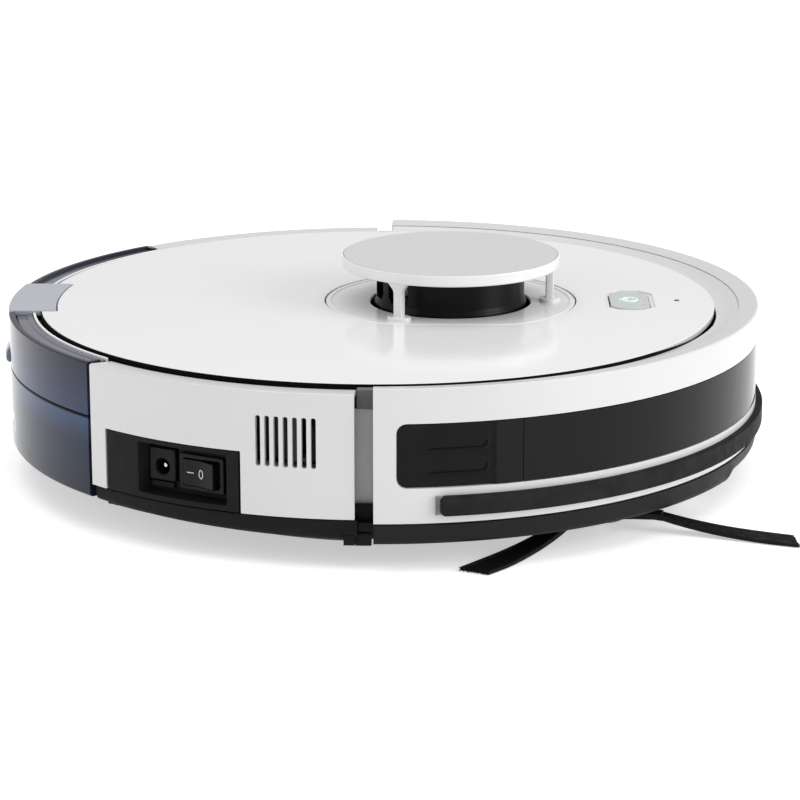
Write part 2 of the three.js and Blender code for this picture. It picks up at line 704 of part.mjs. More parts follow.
function casterWheel() {
  const tread = turned([[0, -6.2], [10, -6.2], [CASTER_R, -5], [CASTER_R, 5], [10, 6.2], [0, 6.2]], 24);
  return union(tread, disc(1.4, -9, 9, 0, 0, 16));
}

addPart('caster_socket', casterSocket(), DARK_GREY, casterGroup);
addPart('caster_fork', casterFork(), BLACK, casterGroup);
const casterWheelGroup = new THREE.Group();
casterWheelGroup.position.set(-CASTER_TRAIL, 0, CASTER_R);
casterWheelGroup.rotation.x = Math.PI / 2;
casterGroup.add(casterWheelGroup);
addPart('caster_wheel', casterWheel(), MID_GREY, casterWheelGroup);

// ---- Main brush ----
const BLADES = 6;
const CORE_R = 9;
const BLADE_TWIST = 42 * RAD;   // how far each half of the brush winds round

function brushSection() {
  const shape = new THREE.Shape();
  const half = 0.09;
  for (let i = 0; i < BLADES; i += 1) {
    const angle = (i * 2 * Math.PI) / BLADES;
    const at = (radius, turn) => [radius * Math.cos(angle + turn), radius * Math.sin(angle + turn)];
    if (i === 0) shape.moveTo(...at(CORE_R, -half * 1.6));
    else shape.lineTo(...at(CORE_R, -half * 1.6));
    shape.lineTo(...at(BRUSH_R, -half / 2));
    shape.lineTo(...at(BRUSH_R, half / 2));
    shape.lineTo(...at(CORE_R, half * 1.6));
    shape.lineTo(...at(CORE_R, Math.PI / BLADES));
  }
  return shape;
}

function mainBrush() {
  const options = { depth: 2 * BRUSH_HALF, steps: 10, bevelEnabled: false };
  const geometry = new THREE.ExtrudeGeometry(brushSection(), options).translate(0, 0, -BRUSH_HALF);
  const position = geometry.attributes.position;
  const point = new THREE.Vector3();
  for (let i = 0; i < position.count; i += 1) {
    point.fromBufferAttribute(position, i);
    point.applyAxisAngle(new THREE.Vector3(0, 0, 1), (BLADE_TWIST * Math.abs(point.z)) / BRUSH_HALF);
    position.setXYZ(i, point.x, point.y, point.z);
  }
  return union(solid(geometry), disc(3, -81, 81, 0, 0, 16));
}

const brushGroup = new THREE.Group();
brushGroup.position.set(BRUSH_X, 0, BRUSH_Z);
brushGroup.rotation.x = Math.PI / 2;
cleaner.add(brushGroup);
addPart('main_brush', mainBrush(), RUBBER, brushGroup);

function brushHousing() {
  return cut(
    union(box(-66, -20, -81.5, 81.5, ON_FLOOR, 40.5), box(-77.5, -60, -34, 34, 20, 44)),
    box(-64, -22, -79.5, 79.5, 0, 38.5),
    box(-80, -62, -32, 32, 22, 42),
    rod(3.4, -90, 90, BRUSH_X, BRUSH_Z),
  );
}

function brushGuard() {
  return cut(
    box(-64.1, -21.9, -79.6, 79.6, FLOOR_LOW, 12.6),
    box(BRUSH_X - 17.8, BRUSH_X + 17.8, -75.5, 75.5, 0, 20),
  );
}

function brushGearbox() {
  return union(
    box(-62, -24, 82.2, 98, ON_FLOOR, 34),
    rod(10, 84, 120, -52, 46, 24).intersect(box(-70, -30, 84, 108, 30, 60)),
    box(-60, -42, 84, 98, 30, 46),
  );
}

addPart('brush_housing', brushHousing(), DARK_GREY);
addPart('brush_guard', brushGuard(), DARK_GREY);
addPart('brush_gearbox', brushGearbox(), DARK_GREY);

// ---- Side brush, about its own axis ----
const sideGroup = new THREE.Group();
sideGroup.position.set(SIDE_X, SIDE_Y, 0);
cleaner.add(sideGroup);

function sideGearbox() {
  return cut(
    union(disc(11.5, ON_FLOOR, 30, 0, 0, 30), box(-11, 11, 0, 36, ON_FLOOR, 34)),
    disc(3.4, 0, 24, 0, 0, SMALL_ROUND),
  );
}

function sideHub() {
  const hub = turned([
    [0, 4.8], [9.5, 4.8], [12, 6.4], [12, 9.2], [7, 9.2], [7, 12.4], [2.9, 12.4], [2.9, 23.5], [0, 23.5],
  ], 20);
  const sleeves = SIDE_ARMS.map((angle) => {
    const sleeve = boxGeometry(9, SLEEVE_END, -2.9, 2.9, 5.4, 8.8);
    return solid(sleeve.rotateZ(angle * RAD));
  });
  return union(hub, ...sleeves);
}

// A tuft of bristles: it leaves the sleeve narrow and spreads as it bends down to the floor.
function sideTuft(angle) {
  const length = TUFT_END - SLEEVE_END - GAP;
  const geometry = new THREE.BoxGeometry(length, 1, 1, 6, 1, 1).translate(length / 2, 0, 0);
  const position = geometry.attributes.position;
  for (let i = 0; i < position.count; i += 1) {
    const along = THREE.MathUtils.clamp(position.getX(i) / length, 0, 1);
    const width = 4 + 7 * along;
    const height = 2.2 - 1.2 * along;
    const middle = 7 - 5.4 * along ** 0.8;
    position.setXYZ(i, position.getX(i), position.getY(i) * width, middle + position.getZ(i) * height);
  }
  return solid(geometry.translate(SLEEVE_END + GAP, 0, 0).rotateZ(angle * RAD));
}

addPart('side_brush_gearbox', sideGearbox(), DARK_GREY, sideGroup);
addPart('side_brush_hub', sideHub(), BLACK, sideGroup);
SIDE_ARMS.forEach((angle, i) => {
  addPart(`side_brush_tuft_${i + 1}`, sideTuft(angle), BLACK, sideGroup);
});

// ---- Dustbin ----
const BIN_INSIDE_X = -111.5;
const BIN_FRONT_X = -78;
const BIN_BOX = { low: -64, high: 96 };
const BIN_WALL = 2;

// The bin's plan: a slice of the round body, and a box that reaches in to the brush.
function binPlan(inset, z0, z1) {
  const arc = inset / 2.8;
  const slice = sector(0, SHELL_R - inset * 1.1, BIN_FROM + 0.3 + arc, 360 - BIN_FROM - 0.3 - arc, z0, z1)
    .intersect(box(-FAR, BIN_INSIDE_X - inset, -FAR, FAR, z0, z1));
  const reach = box(-120, BIN_FRONT_X - inset, BIN_BOX.low + inset, BIN_BOX.high - inset, z0, z1);
  return slice.add(reach);
}

function dustbinTank() {
  const foot = turned([
    [BIN_FOOT_R, BIN_FOOT], [SHELL_R - 1.6, BIN_FOOT], [SHELL_R, BIN_FOOT + 1.8],
    [SHELL_R, BIN_BOTTOM + 1], [BIN_FOOT_R, BIN_BOTTOM + 1],
  ]).intersect(wedge(BIN_FROM + 0.3, 360 - BIN_FROM - 0.3))
    .intersect(box(-FAR, BIN_INSIDE_X, -FAR, FAR, 0, 40));
  return cut(
    union(binPlan(0, BIN_BOTTOM, BIN_SEAM), foot),
    binPlan(BIN_WALL, BIN_BOTTOM + BIN_WALL, 90),
    box(-90, -70, -32, 32, 22, 42),
    box(-107, -85, -70, -60, 26, 46),
  );
}

function dustbinLid() {
  const low = BIN_SEAM + GAP;
  const chamber = cut(binPlan(0, low, BIN_ROOF), binPlan(BIN_WALL, low - 1, BIN_ROOF - BIN_WALL));
  const rimFrom = BIN_FROM + 0.3;
  const rimTo = 360 - rimFrom;
  const rim = union(
    sector(SHELL_R - 2.2, SHELL_R, rimFrom, rimTo, low, BIN_TOP),
    sector(LEDGE_R, SHELL_R - 1, rimFrom, rimTo, BIN_TOP - 2.2, BIN_TOP - 0.6),
    sector(LEDGE_R, LEDGE_R + 1.8, rimFrom, rimTo, BIN_ROOF - 1, BIN_TOP),
  );
  const seat = sector(160.6, 163.4, 168.5, 191.5, BIN_ROOF - 6, 68.2);
  const ridge = sector(164.2, 167.3, 170.6, 189.4, 51.4, 58);
  const latchSpace = latchOutline(140, LATCH_HALF + 0.6).intersect(box(-FAR, 0, -50, 50, 68.2, 90));
  const latchFront = latchOutline(163.1, LATCH_HALF + 0.6).intersect(box(-FAR, 0, -50, 50, 59, 90));
  return cut(union(chamber, rim, seat, ridge), latchSpace, latchFront);
}

function binLatch() {
  const plate = latchOutline(142.6, LATCH_HALF)
    .intersect(sector(0, SHELL_R, 160, 200, 71, 74.3));
  const lip = latchOutline(163.4, LATCH_HALF)
    .intersect(sector(0, SHELL_R, 160, 200, 62.2, 72));
  return plate.add(lip);
}

function filterFrame() {
  return cut(
    box(-109, -83, -61.6, -56, 24, 48),
    box(-106.2, -85.8, -70, -50, 26.8, 45.2),
  );
}

function dustFilter() {
  const [back, front] = [-105.9, -86.1];
  const folds = 6;
  const points = [];
  for (let i = 0; i <= folds; i += 1) {
    const x = back + ((front - back) * i) / folds;
    points.push([x, i % 2 === 0 ? -61.2 : -58.4]);
  }
  const far = points.map(([x, y]) => [x, y + 2]).reverse();
  return prism(polygon([...points, ...far]), 27.1, 44.9);
}

addPart('dustbin_tank', dustbinTank(), SMOKE);
addPart('dustbin_lid', dustbinLid(), SMOKE);
addPart('bin_latch', binLatch(), SILVER);
addPart('filter_frame', filterFrame(), DARK_GREY);
addPart('dust_filter', dustFilter(), PAPER);

// ---- Suction fan ----
const fanGroup = new THREE.Group();
fanGroup.position.set(FAN_X, FAN_Y, 0);
cleaner.add(fanGroup);

const OUTLET_ANGLE = -46.5;

function outlet(halfWidth, z0, z1) {
  const geometry = boxGeometry(12, 72, -halfWidth, halfWidth, z0, z1);
  return solid(geometry.rotateZ(OUTLET_ANGLE * RAD).translate(0, -8, 0));
}

function insideShell() {
  return disc(SHELL_R - WALL - 0.6, 0, 90, -FAN_X, -FAN_Y);
}

function fanHousing() {
  const wall = 1.6;
  const duct = outlet(6.5, FAN_LOW, FAN_HIGH).intersect(insideShell());
  const outer = disc(27, FAN_LOW, FAN_HIGH, 0, 0, 30).add(duct);
  return cut(
    outer,
    disc(27 - wall, FAN_LOW + wall, FAN_HIGH - wall, 0, 0, 30),
    disc(13, 0, FAN_LOW + 5, 0, 0, 24),
    outlet(5, FAN_LOW + wall, FAN_HIGH - wall),
  );
}

function fanMotor() {
  return cut(disc(12, 56.4, FAN_HIGH - 1.9, 0, 0, 30), disc(2, 50, 60, 0, 0, 16));
}

function fanImpeller() {
  const blades = Array.from({ length: 7 }, (_, i) => {
    const blade = boxGeometry(4, 22.6, -0.7, 0.7, 47.4, 54).translate(0, 3, 0);
    return solid(blade.rotateZ((i * 2 * Math.PI) / 7));
  });
  const plate = turned([
    [0, 47.4], [5, 47.4], [6, 53.6], [23.4, 53.6], [23.4, 55.2], [1.6, 55.2], [1.6, 59], [0, 59],
  ], 24);
  return union(plate, ...blades);
}

addPart('fan_housing', fanHousing(), DARK_GREY, fanGroup);
addPart('fan_motor', fanMotor(), STEEL, fanGroup);
addPart('fan_impeller', fanImpeller(), BLACK, fanGroup);

export default cleaner;
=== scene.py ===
import json
import math
import random

import bmesh
import bpy
from mathutils import Matrix, Vector

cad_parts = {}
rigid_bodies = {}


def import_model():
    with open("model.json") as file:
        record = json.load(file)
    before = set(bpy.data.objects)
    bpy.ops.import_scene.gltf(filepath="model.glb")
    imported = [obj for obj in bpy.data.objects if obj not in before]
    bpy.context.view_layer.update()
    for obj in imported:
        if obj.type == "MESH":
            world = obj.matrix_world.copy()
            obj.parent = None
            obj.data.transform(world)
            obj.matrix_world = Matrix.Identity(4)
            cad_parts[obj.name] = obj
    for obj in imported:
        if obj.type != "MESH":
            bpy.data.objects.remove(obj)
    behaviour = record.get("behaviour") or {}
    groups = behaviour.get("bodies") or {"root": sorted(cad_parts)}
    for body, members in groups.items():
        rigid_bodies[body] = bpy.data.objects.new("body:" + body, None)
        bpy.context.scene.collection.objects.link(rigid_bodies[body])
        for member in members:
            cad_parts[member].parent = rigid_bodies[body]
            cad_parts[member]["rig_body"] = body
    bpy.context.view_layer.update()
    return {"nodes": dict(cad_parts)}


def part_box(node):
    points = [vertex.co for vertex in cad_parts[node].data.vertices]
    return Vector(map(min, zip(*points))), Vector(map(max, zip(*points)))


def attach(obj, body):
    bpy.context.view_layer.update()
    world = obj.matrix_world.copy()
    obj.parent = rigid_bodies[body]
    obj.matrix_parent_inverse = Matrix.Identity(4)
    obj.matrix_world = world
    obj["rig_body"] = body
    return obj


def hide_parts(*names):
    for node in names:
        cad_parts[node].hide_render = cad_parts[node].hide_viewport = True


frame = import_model()
MM = 0.001
FACET = 2.0      # degrees of arc in one facet of a large round part
SHARP = 33       # degrees between two faces that meet in a visible edge


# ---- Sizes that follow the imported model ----
def low(node):
    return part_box(node)[0] / MM


def high(node):
    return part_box(node)[1] / MM


def middle(node):
    return (low(node) + high(node)) / 2


def heights(node):
    return low(node).z, high(node).z


SIDES = (("right", -1), ("left", 1))

SHELL_R = -low("dustbin_tank").x
SHELL_LOW, SHELL_TOP = heights("rear_shell_right")
SHELL_FROM = 92.0           # degrees
BIN_HALF = 45.0             # degrees
BIN_FROM = 180 - BIN_HALF
BIN_LOW, BIN_SEAM = heights("dustbin_tank")
BIN_TOP = high("dustbin_lid").z
BIN_FOOT = 15.6
LEDGE_R = 152.2             # the inner edge of the bin's and the shells' tops

BASE_R = high("base_plate").y
BASE_LOW = low("base_plate").z
BASE_TOP = BASE_LOW + 2.8
BASE_RIM = 21.0

BUMPER_R = high("bumper_shell").x
BUMPER_LOW, BUMPER_TOP = heights("bumper_shell")
BUMPER_HALF = 89.4
RIM_R = 159.6
RIM_LOW = high("front_trim").z + 0.3
WINDOW_LOW, WINDOW_HIGH = heights("bumper_window")
WINDOW_HALF = 86.2
PANE_HALF = 68.7
GRIP_FROM = 72.5
STRIP_R = high("bumper_strip").x
STRIP_LOW, STRIP_HIGH = heights("bumper_strip")
STRIP_HALF = 80.4
SKIRT_R = high("bumper_skirt").x
SKIRT_LOW, SKIRT_HIGH = heights("bumper_skirt")

COVER_R = high("top_cover").y
COVER_TOP = high("top_cover").z
COVER_LOW = 71.6
SEAM_SHADE_TO = -12.0             # degrees: the black ring of painted shade in the gap beside the cover ends here
DECK_R = high("top_deck").y
DECK_LOW, DECK_TOP = heights("top_deck")

LIDAR = (middle("lidar_guard").x, 0.0)
GUARD_R = 48.5
GUARD_TOP = 95.1
PLATE_R = 55.7
PLATE_FLAT = -low("lidar_guard").y
PLATE_LOW = low("lidar_guard").z
DRUM_R = 33.0
DRUM_LOW, DRUM_TOP = heights("lidar_drum")
LENS_ANGLES = (-135, -165)
LENS_Z = 81.6

BUTTON_X = middle("start_button").x
LED_X = middle("status_led").x

PANEL_ANGLE = -117.7        # the direction that the connector panel faces
PANEL_FLOOR = 157.4
SWITCH = (6.6, 34.3)        # across and up, on the panel
ROCKER_HALF = 7.8
JACK = (-12.1, 35.9)
JACK_HALF = (6.1, 6.8)
VENT_COUNT = 7
VENT_FIRST = -105.6
VENT_STEP = 1.32

WHEEL_R = high("wheel_tyre_right").x
CASTER_X = middle("caster_fork").x
BRUSH = middle("main_brush")
SIDE = (95.0, -104.0)
SIDE_ARMS = (-130.6, -10.6, 109.4)


# ---- Materials ----
def tone(red, green=None, blue=None):
    """A screen colour from 0 to 255 as the linear colour that shaders take."""
    if green is None:
        green = blue = red
    linear = []
    for value in (red, green, blue):
        share = value / 255
        linear.append(share / 12.92 if share <= 0.04045 else ((share + 0.055) / 1.055) ** 2.4)
    return (*linear, 1.0)


def scaled(colour, factor):
    return (*(min(1.0, channel * factor) for channel in colour[:3]), 1.0)


class Look:
    """A material under construction, with short calls for its nodes."""

    def __init__(self, name, slot, colour, roughness, **sockets):
        self.material = bpy.data.materials.new(name)
        self.material.use_nodes = True
        self.material["slot"] = slot
        self.nodes = self.material.node_tree.nodes
        self.shader = self.nodes["Principled BSDF"]
        self.colour = colour
        self.roughness = roughness
        self.place = self.add("TexCoord").outputs["Object"]
        self.fill(self.shader, Base_Color=colour, Roughness=roughness, **sockets)

    def feed(self, socket, value):
        """Sets a socket to a value, or links it to another node's output."""
        if isinstance(value, bpy.types.NodeSocket):
            self.material.node_tree.links.new(value, socket)
        else:
            socket.default_value = value

    def fill(self, node, **sockets):
        for name, value in sockets.items():
            self.feed(node.inputs[name.replace("_", " ")], value)
        return self

    def add(self, kind, **sockets):
        node = self.nodes.new("ShaderNode" + kind)
        self.fill(node, **sockets)
        return node

    def noise(self, size, detail=2.0):
        """Noise whose features are about size millimetres across."""
        return self.add("TexNoise", Scale=1 / (size * MM), Detail=detail, Vector=self.place).outputs["Fac"]

    def pits(self, size):
        texture = self.add("TexVoronoi", Scale=1 / (size * MM), Vector=self.place)
        texture.feature = "SMOOTH_F1"
        return texture.outputs["Distance"]

    def waves(self, size, axis, distortion):
        texture = self.add("TexWave", Scale=0.314 / (size * MM), Distortion=distortion, Vector=self.place)
        texture.bands_direction = axis
        return texture.outputs["Fac"]

    def range(self, value, from_low, from_high, to_low=0, to_high=1):
        return self.add(
            "MapRange", Value=value, From_Min=from_low, From_Max=from_high, To_Min=to_low, To_Max=to_high,
        ).outputs["Result"]

    def height_share(self, z0, z1):
        """0 at height z0 and 1 at z1, in millimetres."""
        return self.range(self.add("SeparateXYZ", Vector=self.place).outputs["Z"], z0 * MM, z1 * MM)

    def blend(self, factor, first, second):
        mix = self.add("Mix", Factor=factor)
        mix.data_type = "RGBA"
        self.feed(mix.inputs[6], first)
        self.feed(mix.inputs[7], second)
        return mix.outputs[2]

    def paint(self, colour):
        return self.fill(self.shader, Base_Color=colour)

    def drift(self, size, amount):
        """Lets the colour wander a little over the surface."""
        darker, lighter = (scaled(self.colour, 1 + way * amount) for way in (-1, 1))
        return self.paint(self.blend(self.range(self.noise(size), 0.35, 0.65), darker, lighter))

    def haze(self, size, amount):
        """Lets the gloss wander a little, as handling leaves it."""
        smoothest = max(0.02, self.roughness - amount)
        gloss = self.range(self.noise(size, 4.0), 0.35, 0.65, smoothest, self.roughness + amount)
        return self.fill(self.shader, Roughness=gloss)

    def relief(self, height, depth):
        """Raises the surface by height, at most depth millimetres, and gives the finished material."""
        bump = self.add("Bump", Height=height, Distance=depth * MM)
        self.fill(self.shader, Normal=bump.outputs["Normal"])
        return self.material


def moulded(name, slot, colour, roughness, grain=0.5, depth=0.02, drift=0.05, haze=0.05, **sockets):
    """Moulded plastic: a fine even grain, a slow drift of colour and a handled gloss."""
    look = Look(name, slot, colour, roughness, **sockets)
    return look.drift(22, drift).haze(9, haze).relief(look.noise(grain, 3.0), depth)


def polished(name, slot, colour, roughness, ripple=14, depth=0.012, drift=0.02, haze=0.02, **sockets):
    """Polished plastic: a faint long ripple instead of a grain."""
    look = Look(name, slot, colour, roughness, **sockets)
    return look.drift(40, drift).haze(12, haze).relief(look.noise(ripple, 1.0), depth)


def spark_eroded(name, slot, colour, roughness, cell=0.7, depth=0.03, **sockets):
    """Plastic from a spark-eroded mould: small soft pits all over."""
    look = Look(name, slot, colour, roughness, **sockets)
    return look.drift(18, 0.12).haze(7, 0.06).relief(look.pits(cell), depth)


def metal(name, slot, colour, roughness):
    """Turned or brushed metal: fine lines across its height."""
    look = Look(name, slot, colour, roughness, Metallic=1.0)
    return look.drift(6, 0.08).haze(3, 0.08).relief(look.waves(0.35, "Z", 1.5), 0.006)


def rubber(name, slot, colour):
    look = Look(name, slot, colour, 0.7, Specular_IOR_Level=0.15)
    return look.drift(9, 0.16).haze(5, 0.08).relief(look.noise(0.22, 5.0), 0.03)


def smoked_plastic():
    """Smoked plastic: dark at its foot, bluer up to the lid's seam, violet grey above it."""
    look = Look("smoked_plastic", "smoked_plastic", tone(30, 42, 66), 0.07, IOR=1.3)
    colour = tone(25, 25, 31)
    for z0, z1, above in (
        (BIN_LOW - 4, BIN_LOW + 22, tone(24, 35, 56)), (BIN_SEAM - 12, BIN_SEAM - 1.2, tone(48, 70, 104)),
        (BIN_SEAM - 1.1, BIN_SEAM - 0.9, tone(14, 17, 24)), (BIN_SEAM, BIN_SEAM + 0.3, tone(40, 52, 82)),
        (BIN_SEAM + 6, BIN_TOP, tone(33, 33, 43)),
    ):
        colour = look.blend(look.height_share(z0, z1), colour, above)
    cloud = look.range(look.noise(45, 1.0), 0.3, 0.7, 0, 0.3)
    look.paint(look.blend(cloud, colour, tone(26, 30, 44)))
    return look.haze(10, 0.02).relief(look.noise(16, 1.0), 0.002)


def circuit_board():
    """Green solder mask with tracks and dark packages."""
    look = Look("circuit_board", "circuit_board", tone(24, 92, 58), 0.4)
    tracks = look.waves(1.6, "X", 6.0)
    mask = look.blend(look.range(tracks, 0.86, 0.9), tone(22, 84, 52), tone(46, 130, 84))
    look.paint(look.blend(look.height_share(41.7, 41.9), mask, tone(26, 27, 30)))
    return look.haze(4, 0.1).relief(tracks, 0.03)


def filter_paper():
    look = Look("filter_paper", "filter_paper", tone(226, 222, 206), 0.95, Sheen_Weight=0.3)
    return look.drift(3, 0.06).relief(look.noise(0.5, 6.0), 0.08)


def bristle_nylon():
    look = Look("bristle", "bristle", tone(15, 15, 16), 0.5, Specular_IOR_Level=0.15)
    return look.drift(2, 0.35).haze(3, 0.1).relief(look.noise(0.25, 2.0), 0.02)


def button_plastic():
    look = Look(
        "button_plastic", "button_grey", tone(186, 192, 189), 0.22,
        Subsurface_Weight=0.25, Subsurface_Scale=0.003, Coat_Weight=0.6, Coat_Roughness=0.06,
    )
    return look.drift(6, 0.03).haze(5, 0.03).relief(look.noise(0.4, 2.0), 0.006)


def lit_glyph():
    colour = tone(196, 226, 210)
    look = Look("button_glyph", "button_grey", colour, 0.3, Emission_Color=colour, Emission_Strength=0.3)
    return look.drift(1.2, 0.08).haze(2, 0.05).relief(look.noise(0.3, 2.0), 0.01)


def satin(name, slot, colour, roughness, **changes):
    """Smooth satin plastic, with almost no grain."""
    return moulded(name, slot, colour, roughness, **{
        "grain": 0.6, "depth": 0.0005, "drift": 0.006, "haze": 0.01, **changes,
    })


DULL = {"Specular_IOR_Level": 0.12}
COVER_WHITE = polished("cover_white", "white_gloss", tone(224, 224, 225), 0.12, depth=0.003, drift=0.006)
SHELL_WHITE = satin("shell_white", "white_gloss", tone(197, 197, 198), 0.32)
TRIM_WHITE = satin("trim_white", "white_gloss", tone(200, 200, 201), 0.34)
LINE_WHITE = moulded("line_white", "white_gloss", tone(228, 228, 230), 0.35, 0.3, 0.004, 0.02)
PAN_BLACK = spark_eroded("pan_black", "black_plastic", tone(16, 16, 17), 0.55, **DULL)
PANEL_BLACK = spark_eroded("panel_black", "black_plastic", tone(18, 18, 19), 0.55, 0.5, **DULL)
SKIRT_BLACK = moulded("skirt_black", "black_plastic", tone(20, 20, 21), 0.45, 0.4, Specular_IOR_Level=0.15)
DECK_DARK = moulded("deck_dark", "black_plastic", tone(26, 26, 28), 0.6, 0.6, 0.01, **DULL)
# Painted shade: a dull black for a ring that darkens the gap beside the cover, on the near side only.
SEAM_SHADE_BLACK = moulded(
    "seam_black", "black_plastic", tone(15, 15, 16), 0.7, depth=0.01, Specular_IOR_Level=0.05,
)
LIP_GREY = moulded("lip_grey", "grey_plastic", tone(92, 92, 94), 0.6, 0.6)
DRUM_BLACK = moulded("drum_black", "black_plastic", tone(13, 13, 14), 0.35, 0.45, 0.004, **DULL)
PANE_BLACK = polished("pane_black", "black_gloss", tone(14, 14, 15), 0.08, depth=0.002, IOR=1.25)
GRIP_BLACK = spark_eroded("grip_black", "black_gloss", tone(13, 13, 14), 0.45, 0.45, 0.01, **DULL)
SWITCH_BLACK = moulded(
    "switch_black", "black_gloss", tone(14, 14, 15), 0.3, 0.4, 0.004, Specular_IOR_Level=0.16,
)
SOCKET_BLACK = moulded(
    "socket_black", "black_plastic", tone(16, 16, 17), 0.4, 0.3, 0.004, Specular_IOR_Level=0.14,
)
DARK_PLASTIC = spark_eroded("dark_plastic", "dark_plastic", tone(54, 55, 58), 0.6)
WALL_GREY = moulded("wall_grey", "grey_plastic", tone(184, 184, 186), 0.6, 0.7, 0.01)
HUB_GREY = moulded("hub_grey", "grey_plastic", tone(108, 109, 113), 0.5, 0.6)
INLAY_GREY = satin("inlay_grey", "grey_inlay", tone(193, 193, 194), 0.33, grain=0.5)
SILVER = satin("latch_silver", "silver_plastic", tone(178, 180, 189), 0.32, drift=0.01, Metallic=0.3)
STRIP_RUBBER = rubber("strip_rubber", "rubber", tone(24, 24, 25))
BELT_RUBBER = rubber("belt_rubber", "rubber", tone(26, 26, 27))
BRUSH_RUBBER = rubber("brush_rubber", "brush_rubber", tone(38, 40, 44))
TYRE_RUBBER = rubber("tyre_rubber", "tyre", tone(33, 33, 34))
SMOKED = smoked_plastic()
# Painted reflection: the smoked plastic made much paler for the bin's flat top ledge, where it mirrors the
# bright surroundings.
LEDGE_REFLECTION_VIOLET = polished("ledge_violet", "smoked_plastic", tone(92, 93, 106), 0.1, depth=0.002, drift=0.05)
LENS_DARK = polished("lens_dark", "dark_lens", tone(10, 8, 12), 0.04, 6, 0.004)
STEEL = metal("nickel_steel", "steel", tone(196, 196, 192), 0.22)
BRASS = metal("turned_brass", "brass", tone(205, 170, 98), 0.25)
BATTERY_WRAP = polished("battery_wrap", "battery_wrap", tone(40, 92, 160), 0.3, 5, 0.1, 0.08)
BUTTON = button_plastic()
GLYPH = lit_glyph()
PRINT_WHITE = moulded("print_white", "black_gloss", tone(215, 215, 215), 0.5, 0.2)
LIGHT_PIPE = moulded("light_pipe", "light_pipe", tone(120, 122, 122), 0.25, 0.3, Transmission_Weight=0.3)
BOARD = circuit_board()
PAPER = filter_paper()
NYLON = bristle_nylon()


# ---- Shapes ----
def at(radius, degrees, height=0.0, centre=(0.0, 0.0)):
    """The point at this radius and angle about an upright axis."""
    angle = math.radians(degrees)
    return Vector((centre[0] + radius * math.cos(angle), centre[1] + radius * math.sin(angle), height))


def clamped(share):
    return min(1.0, max(0.0, share))


def smooth(share):
    """Goes from 0 to 1 as share does, and is level at both ends."""
    share = clamped(share)
    return share * share * (3 - 2 * share)


def mirrored(side, start, end):
    """A range on the cleaner's left, or on its right where side is -1."""
    return sorted((side * start, side * end))


def spread(start, end, step=FACET):
    """Evenly spaced values from start to end."""
    count = max(1, math.ceil(abs(end - start) / step - 1e-6))
    return [start + (end - start) * i / count for i in range(count + 1)]


def eased(outline, bend=0.4, steps=3):
    """A closed outline with rounded corners. A third number in a point is its own bend."""
    points = []
    for i, corner in enumerate(outline):
        size = corner[2] if len(corner) > 2 else bend
        middle = Vector(corner[:2])
        if size == 0:
            points.append(tuple(middle))
            continue
        arms = [Vector(outline[j % len(outline)][:2]) - middle for j in (i - 1, i + 1)]
        start, end = (middle + arm.normalized() * min(size, 0.48 * arm.length) for arm in arms)
        for k in range(steps + 1):
            t = k / steps
            points.append(tuple(start * (1 - t) ** 2 + middle * (2 * t * (1 - t)) + end * t ** 2))
    return points


def corners(x0, x1, y0, y1):
    return [(x0, y0), (x1, y0), (x1, y1), (x0, y1)]


def rectangle(x0, x1, y0, y1, bend=0.4, steps=3):
    return eased(corners(x0, x1, y0, y1), bend, steps)


def loft(mesh, sections, closed=False):
    """Skins a row of closed outlines that have the same number of points."""
    rows = [[mesh.verts.new(point) for point in section] for section in sections]
    pairs = list(zip(rows, rows[1:]))
    if closed:
        pairs.append((rows[-1], rows[0]))
    else:
        mesh.faces.new(rows[0])
        mesh.faces.new(rows[-1])
    for before, after in pairs:
        for i in range(len(before)):
            mesh.faces.new((before[i - 1], before[i], after[i], after[i - 1]))
    bmesh.ops.remove_doubles(mesh, verts=mesh.verts, dist=1e-4)
    return mesh


def swept(mesh, angles, profile_at, closed=False, centre=(0.0, 0.0)):
    """Skins the closed profiles of (radius, height) points that profile_at gives for the angles."""
    return loft(mesh, [[at(r, angle, z, centre) for r, z in profile_at(angle)] for angle in angles], closed)


def turned(mesh, profile, start=0.0, end=360.0, centre=(0.0, 0.0), step=FACET):
    """A closed profile of (radius, height) points, turned about an upright axis."""
    whole = end - start > 359.99
    angles = spread(start, end, step)
    if whole:
        angles.pop()
    return swept(mesh, angles, lambda angle: profile, whole, centre)


def stacked(mesh, levels, closed=False):
    """Skins a row of flat outlines, each given with its height."""
    return loft(mesh, [[Vector((x, y, z)) for x, y in outline] for outline, z in levels], closed)


def prism(mesh, outline, z0, z1):
    return stacked(mesh, [(outline, z0), (outline, z1)])


def outward(mesh, outline, degrees, r0, r1):
    """An outline of (across, up) points, pushed from radius r0 to r1 in one direction."""
    across = at(1, degrees + 90)
    return loft(mesh, [[at(r, degrees, z) + across * u for u, z in outline] for r in (r0, r1)])


def band(mesh, r0, r1, half, z0, z1, corner):
    """A strip round the front between two radii, its ends rounded off at the corners."""
    insets = {}
    for turn in range(0, 91, 15):
        angle = half - math.degrees(corner * (1 - math.sin(math.radians(turn))) / r1)
        insets[angle] = insets[-angle] = corner * (1 - math.cos(math.radians(turn)))
    reach = half - math.degrees(corner / r1)

    def profile(angle):
        inset = insets.get(angle, 0)
        return corners(r0, r1, z0 + inset, z1 - inset)

    return swept(mesh, sorted({*insets, *spread(-reach, reach)[1:-1]}), profile)


